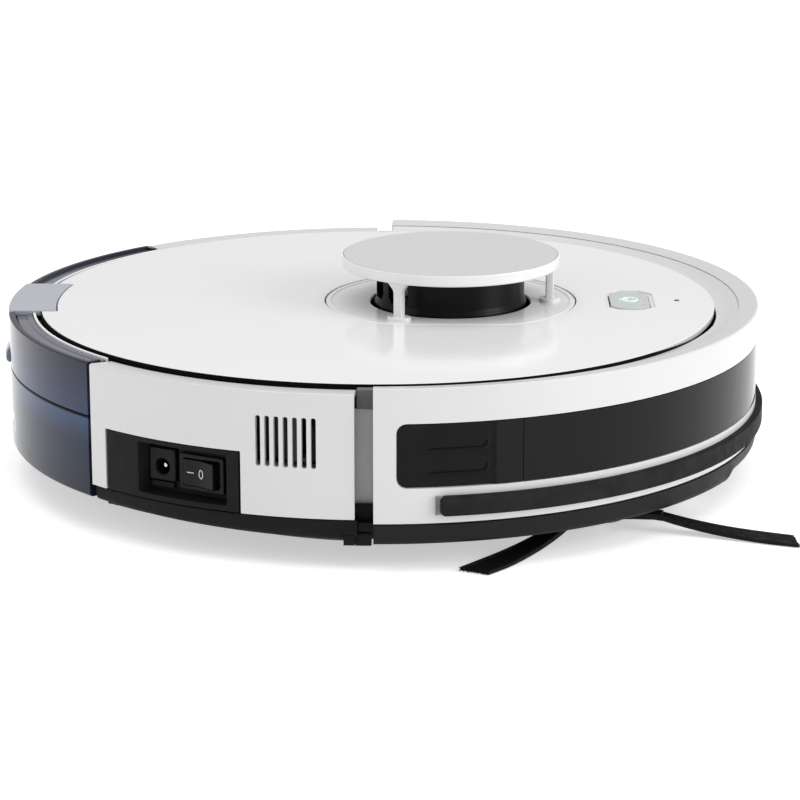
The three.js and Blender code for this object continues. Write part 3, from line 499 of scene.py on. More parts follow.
def tube(mesh, path, radius, sides=8, closed=False):
    """A round rod along a path. radius is a number, or a function of the share of the way along."""
    sections = []
    normal = None
    last = len(path) - 1
    for i, point in enumerate(path):
        before = path[i - 1] if i or closed else point
        after = path[(i + 1) % len(path)] if i < last or closed else point
        along = (after - before).normalized()
        if normal is None:
            normal = along.orthogonal().normalized()
        normal = (normal - along * normal.dot(along)).normalized()
        other = along.cross(normal)
        size = radius(i / last) if callable(radius) else radius
        sections.append([
            point + (normal * math.cos(turn) + other * math.sin(turn)) * size
            for turn in (2 * math.pi * k / sides for k in range(sides))
        ])
    return loft(mesh, sections, closed)


def moved(mesh, matrix):
    mesh.transform(matrix)
    return mesh


def add_object(name, data):
    made = bpy.data.objects.new(name, data)
    bpy.context.scene.collection.objects.link(made)
    return made


def mesh_object(name, mesh):
    data = bpy.data.meshes.new(name)
    mesh.to_mesh(data)
    mesh.free()
    return add_object(name, data)


def combine(base, tool, operation="DIFFERENCE"):
    """Joins or cuts two closed meshes and gives back one."""
    objects = []
    for mesh in (base, tool):
        wires = [edge for edge in mesh.edges if not edge.link_faces]
        bmesh.ops.delete(mesh, geom=wires, context="EDGES")
        bmesh.ops.recalc_face_normals(mesh, faces=mesh.faces)
        objects.append(mesh_object("part", mesh))
    modifier = objects[0].modifiers.new("combine", "BOOLEAN")
    modifier.object = objects[1]
    modifier.operation = operation
    modifier.solver = "MANIFOLD"
    result = bmesh.new()
    result.from_object(objects[0], bpy.context.evaluated_depsgraph_get())
    for leftover in objects:
        data = leftover.data
        bpy.data.objects.remove(leftover)
        bpy.data.meshes.remove(data)
    bmesh.ops.remove_doubles(result, verts=result.verts, dist=0.01)
    return result


def soften(mesh, width, limit=40):
    """Rounds every edge that is sharper than limit."""
    limit = math.radians(limit)
    sharp = [edge for edge in mesh.edges if edge.is_manifold and edge.calc_face_angle() > limit]
    bmesh.ops.bevel(
        mesh, geom=sharp, offset=width, offset_type="OFFSET", segments=2, profile=0.5,
        affect="EDGES", clamp_overlap=False,
    )


def piece(name, mesh, look, *nodes, body=None, edge=0.0):
    """Finishes a piece. It stands for the CAD nodes, and rides on their body or on the one named."""
    if edge:
        soften(mesh, edge)
    bmesh.ops.recalc_face_normals(mesh, faces=mesh.faces)
    mesh.transform(Matrix.Scale(MM, 4))
    made = mesh_object(name, mesh)
    made.data.materials.append(look)
    made.data.shade_smooth()
    made.data.set_sharp_from_angle(angle=math.radians(SHARP))
    made.modifiers.new("even shading", "WEIGHTED_NORMAL").keep_sharp = True
    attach(made, body or frame["nodes"][nodes[0]]["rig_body"])
    if nodes:
        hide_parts(*nodes)
    return made


def keep(look, *nodes, edge=0.4):
    """Gives a CAD node that stays its material and soft edges."""
    for name in nodes:
        node = frame["nodes"][name]
        node.data.materials.clear()
        node.data.materials.append(look)
        node.data.polygons.foreach_set("use_smooth", [True] * len(node.data.polygons))
        bevel = node.modifiers.new("soft edges", "BEVEL")
        bevel.width = edge * MM
        bevel.segments = 2
        bevel.limit_method = "ANGLE"
        bevel.angle_limit = math.radians(SHARP)
        bevel.harden_normals = True


# ---- Camera, light and floor ----
def camera():
    """The photograph's view, from the cleaner's right and a little above."""
    distance = 1.2949
    azimuth, elevation = 1.16, 14.97
    target = Vector((0.00894, 0, 0.02708))
    rise = math.radians(elevation)
    aim = at(math.cos(rise), azimuth - 90, math.sin(rise))
    data = bpy.data.cameras.new("camera")
    data.lens = 128.86
    data.clip_end = 50
    made = add_object("camera", data)
    made.matrix_world = facing(target + aim * distance, target)
    bpy.context.scene.camera = made


def facing(place, target):
    """Where something stands that looks from one place at another."""
    place = Vector(place)
    return Matrix.Translation(place) @ (place - Vector(target)).to_track_quat("Z", "Y").to_matrix().to_4x4()


def area_light(name, place, size, power):
    """A square light that faces the cleaner."""
    data = bpy.data.lights.new(name, "AREA")
    data.shape = "RECTANGLE"
    data.size = data.size_y = size
    data.energy = power
    add_object(name, data).matrix_world = facing(place, (0, 0, 0.05))


def studio():
    world = bpy.data.worlds.new("studio")
    bpy.context.scene.world = world
    world.use_nodes = True
    background = world.node_tree.nodes["Background"]
    background.inputs["Color"].default_value = (1, 1, 1, 1)
    background.inputs["Strength"].default_value = 0.56
    area_light("overhead", (0, 0, 4), 5, 118)
    area_light("key", (2.3, -0.9, 0.9), 1.5, 40)
    area_light("fill", (-2.4, -0.8, 0.9), 1.5, 12)
    disc = turned(bmesh.new(), corners(0, 6000, -4, 0), step=6)
    floor = mesh_object("studio_floor", moved(disc, Matrix.Scale(MM, 4)))
    paint = Look(
        "floor_paint", "floor", tone(225), 0.9, Specular_IOR_Level=0.0,
        Emission_Color=(1, 1, 1, 1), Emission_Strength=0.5,
    )
    floor.data.materials.append(paint.drift(400, 0.002).material)
    bpy.context.scene.view_settings.view_transform = "Standard"


camera()
studio()


# ---- Base pan and the walls on it ----
def pan_profile(groove, corner, outer, edge_z, rim, wall_foot, floor_r):
    """The pan's floor with a groove under it, its bevel up from the corner, and the wall on its edge."""
    wall = outer - 2.2
    return eased([
        (0, BASE_LOW, 0), (groove, BASE_LOW), (groove + 0.6, BASE_LOW + 0.8), (groove + 2.2, BASE_LOW + 0.8),
        (groove + 2.8, BASE_LOW), (corner, BASE_LOW, 2), (outer, edge_z, 2), (outer, rim), (wall, rim),
        (wall, wall_foot), (floor_r, BASE_TOP), (0, BASE_TOP, 0),
    ], 0.5)


def rear_profile(angle):
    """The pan behind the bumper: its bevel grows wider and higher towards the dustbin."""
    share = clamped((min(angle, 360 - angle) - 94) / (BIN_FROM - 95))
    corner, edge_z = 156 - 20 * share ** 1.3, 13.2 + 2 * share
    return pan_profile(corner - 7, corner, BASE_R, edge_z, BASE_RIM, edge_z + 2.6, corner - 0.5)


def base_pan():
    front = pan_profile(149, 153.4, 160.9, 15, 19.4, 15.8, 152.5)
    step_r, under = 123.0, BIN_FOOT - 2
    below_bin = eased([
        (0, BASE_LOW, 0), *((step_r + inset, BASE_LOW) for inset in (-6, -4, -2, 0)),
        (step_r + 6, under, 1), (152, under), (152.6, under + 0.6), (152.6, BIN_FOOT - 0.2),
        (step_r + 5, BIN_FOOT - 0.2), (step_r - 3, BASE_TOP), (0, BASE_TOP, 0),
    ], 0.5)
    split, bin_edge = 91.6, BIN_FROM - 0.4
    sections = [(angle, front) for angle in spread(-split, split)]
    sections += [(angle, rear_profile(angle)) for angle in spread(split + 0.1, bin_edge)]
    sections += [(angle, below_bin) for angle in spread(bin_edge + 0.1, 359.9 - bin_edge)]
    sections += [(angle, rear_profile(angle)) for angle in spread(360 - bin_edge, 359.9 - split)]
    mesh = loft(bmesh.new(), [[at(r, angle, z) for r, z in profile] for angle, profile in sections], True)
    holes = bmesh.new()
    openings = [
        (-64.5, -21.5, -80, 80, 1.5),                   # main brush
        (22, 92, -35, 35, 1.5),                         # battery
    ]
    for side in (1, -1):
        openings += [
            (-36, 36, *mirrored(side, 100.5, 124.5), 3),        # drive wheel
            (-20, 36, *mirrored(side, 84, 99.8), 3),            # its arm and gearbox
            (135.5, 144.5, *mirrored(side, 28.3, 43.3), 1.2),   # charging contact
            (128.5, 139.5, *mirrored(side, 52.5, 75.5), 1.2),   # cliff sensor
        ]
    for opening in openings:
        prism(holes, rectangle(*opening), 0, 30)
    turned(holes, corners(0, 18.6, 0, 30), centre=(CASTER_X, 0), step=8)
    turned(holes, corners(0, 13.5, 0, 30), centre=SIDE, step=8)
    mesh = combine(mesh, holes)
    for ends in ((-107.8, 134), (-134, -132.2)):
        turned(mesh, rectangle(155.6, 157.6, BASE_TOP - 0.6, 26), *ends)
    sill = rectangle(157.9, BASE_R - 2.3, 14, low("jack_panel").z + 0.4)
    turned(mesh, sill, PANEL_ANGLE - 15, PANEL_ANGLE + 11)
    for side in (1, -1):
        for outer, foot, end in ((BASE_R + 0.2, BASE_LOW + 0.4, 93.6), (161.2, BASE_LOW - 0.4, 89.7)):
            ends = mirrored(side, SHELL_FROM, end)
            turned(mesh, rectangle(157, outer, foot, 15, 0.8), *ends, step=0.5)
        for y in (82, 100.5):
            prism(mesh, rectangle(37, 48, *mirrored(side, y, y + 3.5)), BASE_LOW + 1, 46)
    piece("base_pan", mesh, PAN_BLACK, "base_plate", edge=0.35)


def inner_wall():
    mesh = turned(bmesh.new(), rectangle(152.7, 155.1, 14.6, 65, 0.6), -134.2, 134.2)
    holes = bmesh.new()
    turned(holes, corners(140, 160, 0, 50), -128.5, -109.6)     # behind the connector panel
    turned(holes, corners(140, 160, 41, 80), -108, -94)         # behind the vents
    piece("side_wall", combine(mesh, holes), WALL_GREY, "inner_wall")
    profile = eased([
        (155.2, 65.2), (156.4, 65.2), (156.4, 73), (152.4, 73), (152.4, 71.2), (155.2, 71.2),
    ], 0.3)
    for name, side in SIDES:
        ends = mirrored(side, BUMPER_HALF + 0.05, SHELL_FROM - 0.15)
        piece(f"gap_lip_{name}", turned(bmesh.new(), profile, *ends, step=0.5), LIP_GREY, body="chassis")


def deck():
    mesh = turned(bmesh.new(), eased([
        (0, DECK_LOW, 0), (DECK_R, DECK_LOW), (DECK_R, DECK_TOP), (DECK_R - 5, DECK_TOP),
        (DECK_R - 5, DECK_LOW + 1.7), (0, DECK_LOW + 1.7, 0),
    ]))
    holes = bmesh.new()
    edge = LEDGE_R - 0.4
    turned(holes, corners(edge, 220, 60, 80), BIN_FROM - 0.6, 360 - BIN_FROM + 0.6)
    turned(holes, corners(0, 52.8, 60, 80), centre=LIDAR, step=5)
    prism(holes, rectangle(-151, -139.5, -28, 28, 1), DECK_LOW + 1.9, 80)
    prism(holes, rectangle(BUTTON_X - 5, BUTTON_X + 5, -9, 9, 1), 60, 68)
    piece("deck", combine(mesh, holes), DECK_DARK, "top_deck", edge=0.3)

    # A black ring of painted shade standing in the gap beside the cover, set lower towards the front.
    def seam(angle):
        sunk = clamped((angle + 40) / (SEAM_SHADE_TO + 40))
        return rectangle(COVER_R + 0.03, COVER_R + 0.45, DECK_TOP - 0.3, COVER_TOP - 0.22 - 2.4 * sunk, 0.1)

    piece("cover_seam", swept(bmesh.new(), spread(-180, SEAM_SHADE_TO), seam), SEAM_SHADE_BLACK, body="chassis")


# ---- Top cover and trim ----
def plate_outline(extra):
    """The turret plate's edge: a circle with its right side cut flat, its corners eased."""
    radius, flat = PLATE_R + extra, PLATE_FLAT + extra
    sharpness = 40
    points = []
    for angle in spread(0, 360)[:-1]:
        drop = max(1e-6, -math.sin(math.radians(angle)))
        reach = (radius ** -sharpness + (flat / drop) ** -sharpness) ** (-1 / sharpness)
        points.append(at(reach, angle, 0, LIDAR).to_2d())
    return points


def button_outline(length, width, corner, bend=1.2):
    a, b = length / 2, width / 2
    return eased([
        (BUTTON_X + a, -b + corner), (BUTTON_X + a, b - corner), (BUTTON_X + a - corner, b),
        (BUTTON_X - a + corner, b), (BUTTON_X - a, b - corner), (BUTTON_X - a, -b + corner),
        (BUTTON_X - a + corner, -b), (BUTTON_X + a - corner, -b),
    ], bend)


def latch_outline(r0, r1, half, bend=0):
    """A piece of a ring at the rear, with straight sides half away from the middle."""
    points = []
    for radius, way in ((r0, 1), (r1, -1)):
        reach = way * math.degrees(math.asin(half / radius))
        arc = [at(radius, angle) for angle in spread(180 + reach, 180 - reach, 1.5)]
        corner = bend if radius == r0 else 0
        points += [(p.x, p.y, corner if i in (0, len(arc) - 1) else 0) for i, p in enumerate(arc)]
    return eased(points)


def cover_radius(angle):
    """The cover's edge is drawn in a little round the front."""
    return COVER_R - 1.7 * smooth((48 - abs(angle)) / 33)


def top_cover():
    def profile(angle):
        edge = cover_radius(angle)
        return eased([(0, COVER_LOW, 0), (edge, COVER_LOW, 0.3), (edge, COVER_TOP, 0.5), (0, COVER_TOP, 0)])

    mesh = swept(bmesh.new(), spread(-180, 180)[:-1], profile, True)
    holes = bmesh.new()
    prism(holes, plate_outline(0.6), 60, 90)
    prism(holes, button_outline(21.8, 38.4, 6), COVER_TOP - 1, 90)
    prism(holes, rectangle(LED_X - 1.1, LED_X + 1.1, -2.1, 2.1, 0.9), 60, 90)
    prism(holes, latch_outline(143.6, 175, 27.5, 1.8), 60, 90)
    mesh = combine(mesh, holes)
    mesh = combine(mesh, prism(bmesh.new(), button_outline(18.2, 34.8, 5), 60, 90))
    piece("cover", mesh, COVER_WHITE, "top_cover", edge=0.22)


def front_trim():
    """A cove from the bumper's rim down to the cover."""
    lip, outer = RIM_R - 0.9, RIM_R - 0.05
    foot, top, dip = low("front_trim").z, RIM_LOW - 0.06, 72.4

    def profile(angle):
        open_seam = clamped((-angle - 2) / 14)
        inner = (cover_radius(angle) + 0.1) * (1 - open_seam) + (COVER_R + 0.6) * open_seam
        cove = [(lip + (inner - lip) * t, dip + (top - dip) * (1 - t) ** 1.8) for t in spread(0, 1, 1 / 8)]
        return [(inner, foot), (outer, foot), (outer, top), *cove]

    mesh = swept(bmesh.new(), spread(-89.2, 89.2), profile)
    piece("front_cove", mesh, TRIM_WHITE, "front_trim", edge=0.06)


# ---- Rear side shells ----
def rear_shell(side):
    inner = SHELL_R - 2.4
    ledge = LEDGE_R + 0.9
    profile = eased([
        (inner, SHELL_LOW), (SHELL_R, SHELL_LOW), (SHELL_R, SHELL_TOP, 1.3), (ledge, 72.1), (ledge, 70.9),
        (inner, 70.9),
    ])
    return turned(bmesh.new(), profile, *mirrored(side, SHELL_FROM, BIN_FROM - 0.3))


def side_shells():
    piece("shell_left", rear_shell(1), SHELL_WHITE, "rear_shell_left", edge=0.3)
    holes = bmesh.new()
    turned(holes, corners(150, 200, 0, 47.45), PANEL_ANGLE - 13.85, PANEL_ANGLE + 9.45)
    vent = rectangle(-1, 1, 42.3, 63, 0.97, 5)
    for i in range(VENT_COUNT):
        outward(holes, vent, VENT_FIRST + i * VENT_STEP, 155, 175)
    piece("shell_right", combine(rear_shell(-1), holes), SHELL_WHITE, "rear_shell_right", edge=0.25)


# ---- Connector panel, made facing -Y and then turned into place ----
PANEL_TURN = Matrix.Rotation(math.radians(PANEL_ANGLE + 90), 4, "Z")
ROCKER_PLACE = Matrix.Translation((SWITCH[0], -156.5, SWITCH[1]))
ROCKER_TURN = PANEL_TURN @ ROCKER_PLACE @ Matrix.Rotation(math.radians(-8), 4, "Z")


def around(centre, half, grow=0.0, bend=0.4):
    """A rectangle on the panel, given by its middle and its half width and height."""
    (u, z), (a, b) = centre, half
    return rectangle(u - a - grow, u + a + grow, z - b - grow, z + b + grow, bend)


def connector_panel():
    outer = SHELL_R - 0.1
    foot, top = low("jack_panel").z, high("jack_panel").z
    mesh = turned(bmesh.new(), rectangle(162.7, outer, foot, top, 0.3), -103.6, -80.8)
    arc = [at(outer - 0.05, angle) for angle in spread(-97.9, -82.2)]
    block = [(p.x, p.y) for p in arc] + [(22.4, -155.4), (-22.6, -155.4)]
    mesh = combine(mesh, prism(bmesh.new(), block, 22.4, 46.2), "UNION")
    floor, mouth = (-PANEL_FLOOR, (-18.5, 21, 24.6, 44.9)), (-170, (-24, 21.2, 23.7, 45.6))
    recess = [[Vector((u, y, z)) for u, z in rectangle(*sides, 0.8)] for y, sides in (floor, mouth)]
    mesh = combine(mesh, loft(bmesh.new(), recess))
    holes = outward(bmesh.new(), around(SWITCH, (10, 7)), -90, 150, 160)
    outward(holes, around(JACK, JACK_HALF, 0.3), -90, 150, 160)
    mesh = combine(mesh, holes)
    left, right = JACK[0] - JACK_HALF[0], JACK[0] + JACK_HALF[0] - 1
    outward(mesh, rectangle(left, right, 25.9, 28.3, 0.5), -90, PANEL_FLOOR - 1, PANEL_FLOOR + 1.4)
    piece("connector_panel", moved(mesh, PANEL_TURN), PANEL_BLACK, "jack_panel", edge=0.3)


def power_switch():
    box = outward(bmesh.new(), around(SWITCH, (9.7, 6.7)), -90, 143, 158.4)
    bezel = outward(bmesh.new(), around(SWITCH, (10.5, 7.5), bend=0.8), -90, PANEL_FLOOR + 0.3, 159.4)
    well = outward(bmesh.new(), around(SWITCH, (8.5, 5.8), bend=0.6), -90, 151.5, 170)
    mesh = combine(combine(box, bezel, "UNION"), well)
    piece("switch_frame", moved(mesh, PANEL_TURN), SWITCH_BLACK, "power_switch_body", edge=0.35)


def rocker_face(u):
    """How far the rocker's dished face stands in front of its pivot."""
    return 3.6 + 1.0 * (abs(u) / ROCKER_HALF) ** 1.6


def rocker():
    top = [(u, -rocker_face(u)) for u in spread(ROCKER_HALF, -ROCKER_HALF, 1.3)]
    mesh = prism(bmesh.new(), [(-ROCKER_HALF, 0.5), (ROCKER_HALF, 0.5), *top], -5.4, 5.4)
    piece("rocker", moved(mesh, ROCKER_TURN), SWITCH_BLACK, "power_rocker", edge=0.5)
    marks = tube(bmesh.new(), [Vector((u, -rocker_face(u), 0)) for u in spread(-6.0, -2.8, 0.5)], 0.2)
    ring = []
    for turn in (math.radians(degrees) for degrees in range(0, 360, 15)):
        u = 0.8 + math.cos(turn)
        ring.append(Vector((u, -rocker_face(u), 1.75 * math.sin(turn))))
    tube(marks, ring, 0.2, closed=True)
    piece("rocker_marks", moved(marks, ROCKER_TURN), PRINT_WHITE, body="rocker")


def dc_socket():
    """A square block with a round bore, and the pin on the bore's floor."""
    (u, z), (a, b) = JACK, JACK_HALF
    z_bore = z - 1
    face = 159.6

    def ring(radius, depth):
        turns = (math.radians(degrees) for degrees in range(0, 360, 9))
        return [Vector((u + radius * math.cos(t), -depth, z_bore + radius * math.sin(t))) for t in turns]

    def square(grow, depth):
        points = []
        for point in ring(1, depth):
            du, dz = point.x - u, point.z - z_bore
            up = b + grow + (z - z_bore) * math.copysign(1, dz)
            reach = min((a + grow) / max(1e-6, abs(du)), up / max(1e-6, abs(dz)))
            points.append(Vector((u + du * reach, -depth, z_bore + dz * reach)))
        return points

    mesh = loft(bmesh.new(), [
        square(0, 144), square(0, face - 0.35), square(-0.35, face),
        ring(3.7, face), ring(3.25, face - 0.6), ring(3.2, 147.2),
    ])
    piece("power_inlet", moved(mesh, PANEL_TURN), SOCKET_BLACK, "dc_socket")
    pin = turned(bmesh.new(), eased([(0, 0, 0), (1.05, 0), (1.05, 10.4, 0.9), (0, 10.4, 0)]), step=20)
    lay = Matrix.Translation((u, -147, z_bore)) @ Matrix.Rotation(math.radians(90), 4, "X")
    piece("inlet_pin", moved(moved(pin, lay), PANEL_TURN), STEEL, "dc_pin")


# ---- Bumper ----
def bumper():
    inner = 163.7
    profile = eased([
        (inner, BUMPER_LOW), (BUMPER_R, BUMPER_LOW), (BUMPER_R, BUMPER_TOP, 1.4),
        (RIM_R, BUMPER_TOP - 1.4, 0.15), (RIM_R, RIM_LOW, 0.1), (inner, RIM_LOW, 0.1),
    ])
    mesh = turned(bmesh.new(), profile, -BUMPER_HALF, BUMPER_HALF)
    z0, z1 = WINDOW_LOW - 0.25, WINDOW_HIGH + 0.25
    groove = band(bmesh.new(), BUMPER_R - 1.9, BUMPER_R + 6, WINDOW_HALF + 0.1, z0, z1, 4.2)
    piece("bumper_front", combine(mesh, groove), SHELL_WHITE, "bumper_shell", edge=0.1)


def window_radius(angle):
    """The window's outer radius: a flush pane with a seam, and a sunk grip at each end."""
    away = abs(angle)
    seam = 0.35 if abs(away - PANE_HALF) < 0.07 else 0
    return BUMPER_R - 0.15 - 0.85 * smooth((away - GRIP_FROM) / 0.7) - seam


def bumper_window():
    corner = 4.0
    inner = BUMPER_R - 1.7
    corner_arc = math.degrees(corner / BUMPER_R)
    seams = []
    for side in (-1, 1):
        seams += [side * (PANE_HALF + offset) for offset in (-0.12, -0.06, 0.06, 0.12)]
        seams += [side * (GRIP_FROM + offset) for offset in (0.0, 0.14, 0.28, 0.42, 0.56, 0.7)]
    reach = WINDOW_HALF - corner_arc
    ends = [WINDOW_HALF - corner_arc * (1 - math.sin(math.radians(turn))) for turn in range(0, 91, 15)]
    angles = sorted({*spread(-reach, reach), *seams, *ends, *(-end for end in ends)})

    def profile(angle):
        gap = math.radians(WINDOW_HALF - abs(angle)) * BUMPER_R
        inset = corner - math.sqrt(max(0.0, corner ** 2 - (corner - min(gap, corner)) ** 2))
        z0, z1 = WINDOW_LOW + inset, WINDOW_HIGH - inset
        outer = window_radius(angle)
        flat = outer - 0.25
        return [(inner, z0), (flat, z0), (outer, z0 + 0.25), (outer, z1 - 0.25), (flat, z1), (inner, z1)]

    pane = [angle for angle in angles if abs(angle) <= GRIP_FROM + 0.01]
    piece("infrared_window", swept(bmesh.new(), pane, profile), PANE_BLACK, "bumper_window")
    for name, side in SIDES:
        grip = [angle for angle in angles if angle * side >= GRIP_FROM - 0.01]
        mesh = swept(bmesh.new(), grip, profile)
        for z in (41.0, 50.8):
            tube(mesh, ridge_path(side, z), lambda t: 0.95 * min(1.0, 0.25 + 6 * t, 0.25 + 6 * (1 - t)))
        piece(f"window_grip_{name}", mesh, GRIP_BLACK, body="bumper")


def ridge_path(side, z):
    """A ridge that runs level towards the front and then turns up."""
    radius, bend, turn_at = BUMPER_R - 1.15, 3.2, 74.7
    path = [at(radius, side * angle, z) for angle in spread(82.6, turn_at, 0.9)]
    for turn in (math.radians(degrees) for degrees in range(15, 91, 15)):
        angle = turn_at - math.degrees(bend * math.sin(turn) / radius)
        path.append(at(radius, side * angle, z + bend * (1 - math.cos(turn))))
    path.append(path[-1] + Vector((0, 0, 0.9)))
    return path


def bumper_strip():
    mesh = band(bmesh.new(), BUMPER_R - 0.3, STRIP_R, STRIP_HALF, STRIP_LOW, STRIP_HIGH, 2.2)
    piece("bumper_cushion", mesh, STRIP_RUBBER, "bumper_strip", edge=0.5)
    profile = rectangle(BUMPER_R - 0.3, BUMPER_R + 1.3, STRIP_LOW + 0.3, STRIP_HIGH - 0.3, 0.5)
    for name, side in SIDES:
        ends = mirrored(side, STRIP_HALF - 0.4, STRIP_HALF + 0.6)
        mesh = turned(bmesh.new(), profile, *ends, step=0.5)
        piece(f"cushion_end_{name}", mesh, LIGHT_PIPE, body="bumper", edge=0.3)


def bumper_skirt():
    """The black foot of the bumper, raised round the front."""
    raised, ramp = 23.6, 3.2
    inner = SKIRT_R - 2.3

    def profile(angle):
        foot = SKIRT_LOW + 2.8 * smooth((raised + ramp - abs(angle)) / ramp)
        return eased([
            (inner, foot), (SKIRT_R - 0.9, foot), (SKIRT_R, foot + 1.4, 1.0), (SKIRT_R, SKIRT_HIGH, 0.5),
            (inner, SKIRT_HIGH),
        ], 0.3)

    ramps = (*spread(-raised - ramp, -raised, 0.4), *spread(raised, raised + ramp, 0.4))
    angles = sorted({*spread(-BUMPER_HALF, BUMPER_HALF), *ramps})
    piece("skirt", swept(bmesh.new(), angles, profile), SKIRT_BLACK, "bumper_skirt", edge=0.3)


# ---- Laser turret ----
def turret_guard():
    """A plate with a raised lip, three posts with flared heads, and the cap they carry."""
    def ring(radius):
        return [at(radius, angle, 0, LIDAR).to_2d() for angle in spread(0, 360)[:-1]]

    hole = 35.8
    top = PLATE_LOW + 2.0
    outer, rim, inner = (plate_outline(extra) for extra in (0.0, -0.5, -2.2))
    step = [point + (Vector(LIDAR) - point).normalized() * 0.4 for point in inner]
    mesh = stacked(bmesh.new(), [
        (ring(hole), PLATE_LOW), (outer, PLATE_LOW), (outer, top - 0.35), (rim, top), (inner, top),
        (step, top - 0.4), (ring(hole + 0.5), top - 0.4), (ring(hole), top - 0.8),
    ], True)
    turned(mesh, eased([
        (0, 91.6, 0), (45.6, 91.6), (46.6, 89.9), (GUARD_R, 90.2, 0.9), (GUARD_R, GUARD_TOP, 0.5),
        (47.9, GUARD_TOP, 0.1), (47.9, 94.2, 0.1), (0, 94.2, 0),
    ]), centre=LIDAR)
    for angle in (0, 120, 240):
        post(mesh, angle, top - 0.5)
    piece("turret_cap", mesh, COVER_WHITE, "lidar_guard")
    inlay = eased([(0, 94.3, 0), (47.7, 94.3, 0.1), (47.7, 95.2, 0.15), (0, 95.2, 0)])
    piece("turret_inlay", turned(bmesh.new(), inlay, centre=LIDAR), INLAY_GREY, "lidar_guard_inlay")


def post(mesh, degrees, foot):
    """One post: a round foot, a slim stem and a head that flares under the cap."""
    centre = at(44.3, degrees, 0, LIDAR)
    out, across = at(1, degrees), at(1, degrees + 90)
    sections = []
    for z, deep, wide, roundness in (
        (foot, 4.6, 5.4, 1.0), (foot + 1.3, 4.6, 5.4, 1.0), (foot + 1.6, 4.3, 5.1, 1.0),
        (foot + 1.7, 2.0, 2.3, 0.45), (foot + 2.6, 1.8, 2.1, 0.35), (85.8, 1.8, 2.1, 0.35),
        (87.0, 1.9, 2.6, 0.35), (88.6, 2.2, 3.8, 0.3), (89.8, 2.6, 4.7, 0.3), (92.2, 2.8, 5.0, 0.3),
    ):
        power = 2 / (2 + 6 * (1 - roundness))
        section = []
        for turn in range(0, 360, 15):
            x, y = (math.copysign(abs(value) ** power, value) for value in at(1, turn).xy)
            section.append(centre + out * (x * deep) + across * (y * wide) + Vector((0, 0, z)))
        sections.append(section)
    loft(mesh, sections)


def lens_frame(degrees):
    """Lays a shape that stands on the XY plane so that its Z points out of the drum."""
    lay = Matrix.Rotation(math.radians(degrees), 4, "Z") @ Matrix.Rotation(math.radians(90), 4, "Y")
    return Matrix.Translation((*LIDAR, LENS_Z)) @ lay


def turret_drum():
    mesh = turned(bmesh.new(), eased([
        (0, DRUM_LOW, 0), (30, DRUM_LOW), (30, 67.2), (27.5, 67.2), (27.5, 69.6), (30, 69.6), (30, 72.4),
        (34.0, 72.4, 0.5), (34.0, 74, 0.7), (DRUM_R, 75.6, 1.0), (DRUM_R, DRUM_TOP, 0.8), (0, DRUM_TOP, 0),
    ]), centre=LIDAR)
    opening = eased([
        (2.6, 6), (5, 4), (5, -4), (2.6, -6), (-2.6, -6), (-5, -4), (-5, 4), (-2.6, 6),
    ], 0.5)
    for degrees in LENS_ANGLES:
        mesh = combine(mesh, moved(prism(bmesh.new(), opening, 26, 40), lens_frame(degrees)))
    piece("turret_drum", mesh, DRUM_BLACK, "lidar_drum", edge=0.3)
    for number, degrees in enumerate(LENS_ANGLES, 1):
        lens = turned(bmesh.new(), eased([
            (0, 24, 0), (4.6, 24), (4.6, 28.2), (4.1, 28.2), (3.7, 27.4), (2.6, 28.3, 1), (1.3, 28.7, 1),
            (0, 28.8, 0),
        ], 0.15), step=12)
        piece(f"turret_lens_{number}", moved(lens, lens_frame(degrees)), LENS_DARK, f"lidar_lens_{number}")


# ---- Start button and status light ----
def start_button():
    top = COVER_TOP + 0.1
    mesh = prism(bmesh.new(), button_outline(17.4, 34, 4.8, 1.6), 69, top)
    prism(mesh, rectangle(BUTTON_X - 2, BUTTON_X + 2, -4, 4), 63.5, 69.2)
    piece("button", mesh, BUTTON, "start_button", edge=0.45)
    glyph = bmesh.new()
    centre = Vector((BUTTON_X, 0, top))
    arc = [centre + at(3.6, angle) for angle in spread(215, 505, 12)]
    tube(glyph, arc, 0.42)
    tube(glyph, [centre + Vector((x, 0, 0)) for x in (-4.4, -3.2, -2.0, -0.8)], 0.42)
    piece("button_sign", glyph, GLYPH, body="button")
    led = prism(bmesh.new(), rectangle(LED_X - 0.85, LED_X + 0.85, -1.85, 1.85, 0.7), 67.6, COVER_TOP - 0.2)
    piece("status_lamp", led, LENS_DARK, "status_led", edge=0.2)


# ---- Dustbin ----
BIN_RANGE = (BIN_FROM + 0.3, 360 - BIN_FROM - 0.3)
BIN_BOX = (-120.0, -78.0, -64.0, 96.0)


def bin_tank():
    """The lower half, with a shallow scoop for the fingers at the rear."""
    scoop, deepest = 26.5, 2.0
    wall, foot = SHELL_R - 2.6, BIN_FOOT

    def profile(angle):
        dip = deepest * smooth((16 - abs(angle - 180)) / 7)
        half, full = SHELL_R - 0.4 * dip, SHELL_R - dip
        return [
            (wall - 22, foot), (SHELL_R - 1.8, foot), (SHELL_R - 0.6, foot + 0.4), (SHELL_R, foot + 1.4),
            (SHELL_R, scoop - 5.0), (half, scoop - 3.4), (full, scoop - 1.6),
            (full, scoop + 1.6), (half, scoop + 3.4), (SHELL_R, scoop + 5.0),
            (SHELL_R, BIN_SEAM - 0.6), (SHELL_R - 0.6, BIN_SEAM), (wall, BIN_SEAM),
            (wall, foot + 5), (155, foot + 2), (wall - 22, foot + 2),
        ]

    mesh = swept(bmesh.new(), spread(*BIN_RANGE, 1.5), profile)
    ends_and_box(mesh, foot, BIN_SEAM)
    piece("bin_tank", mesh, SMOKED, "dustbin_tank", edge=0.25)


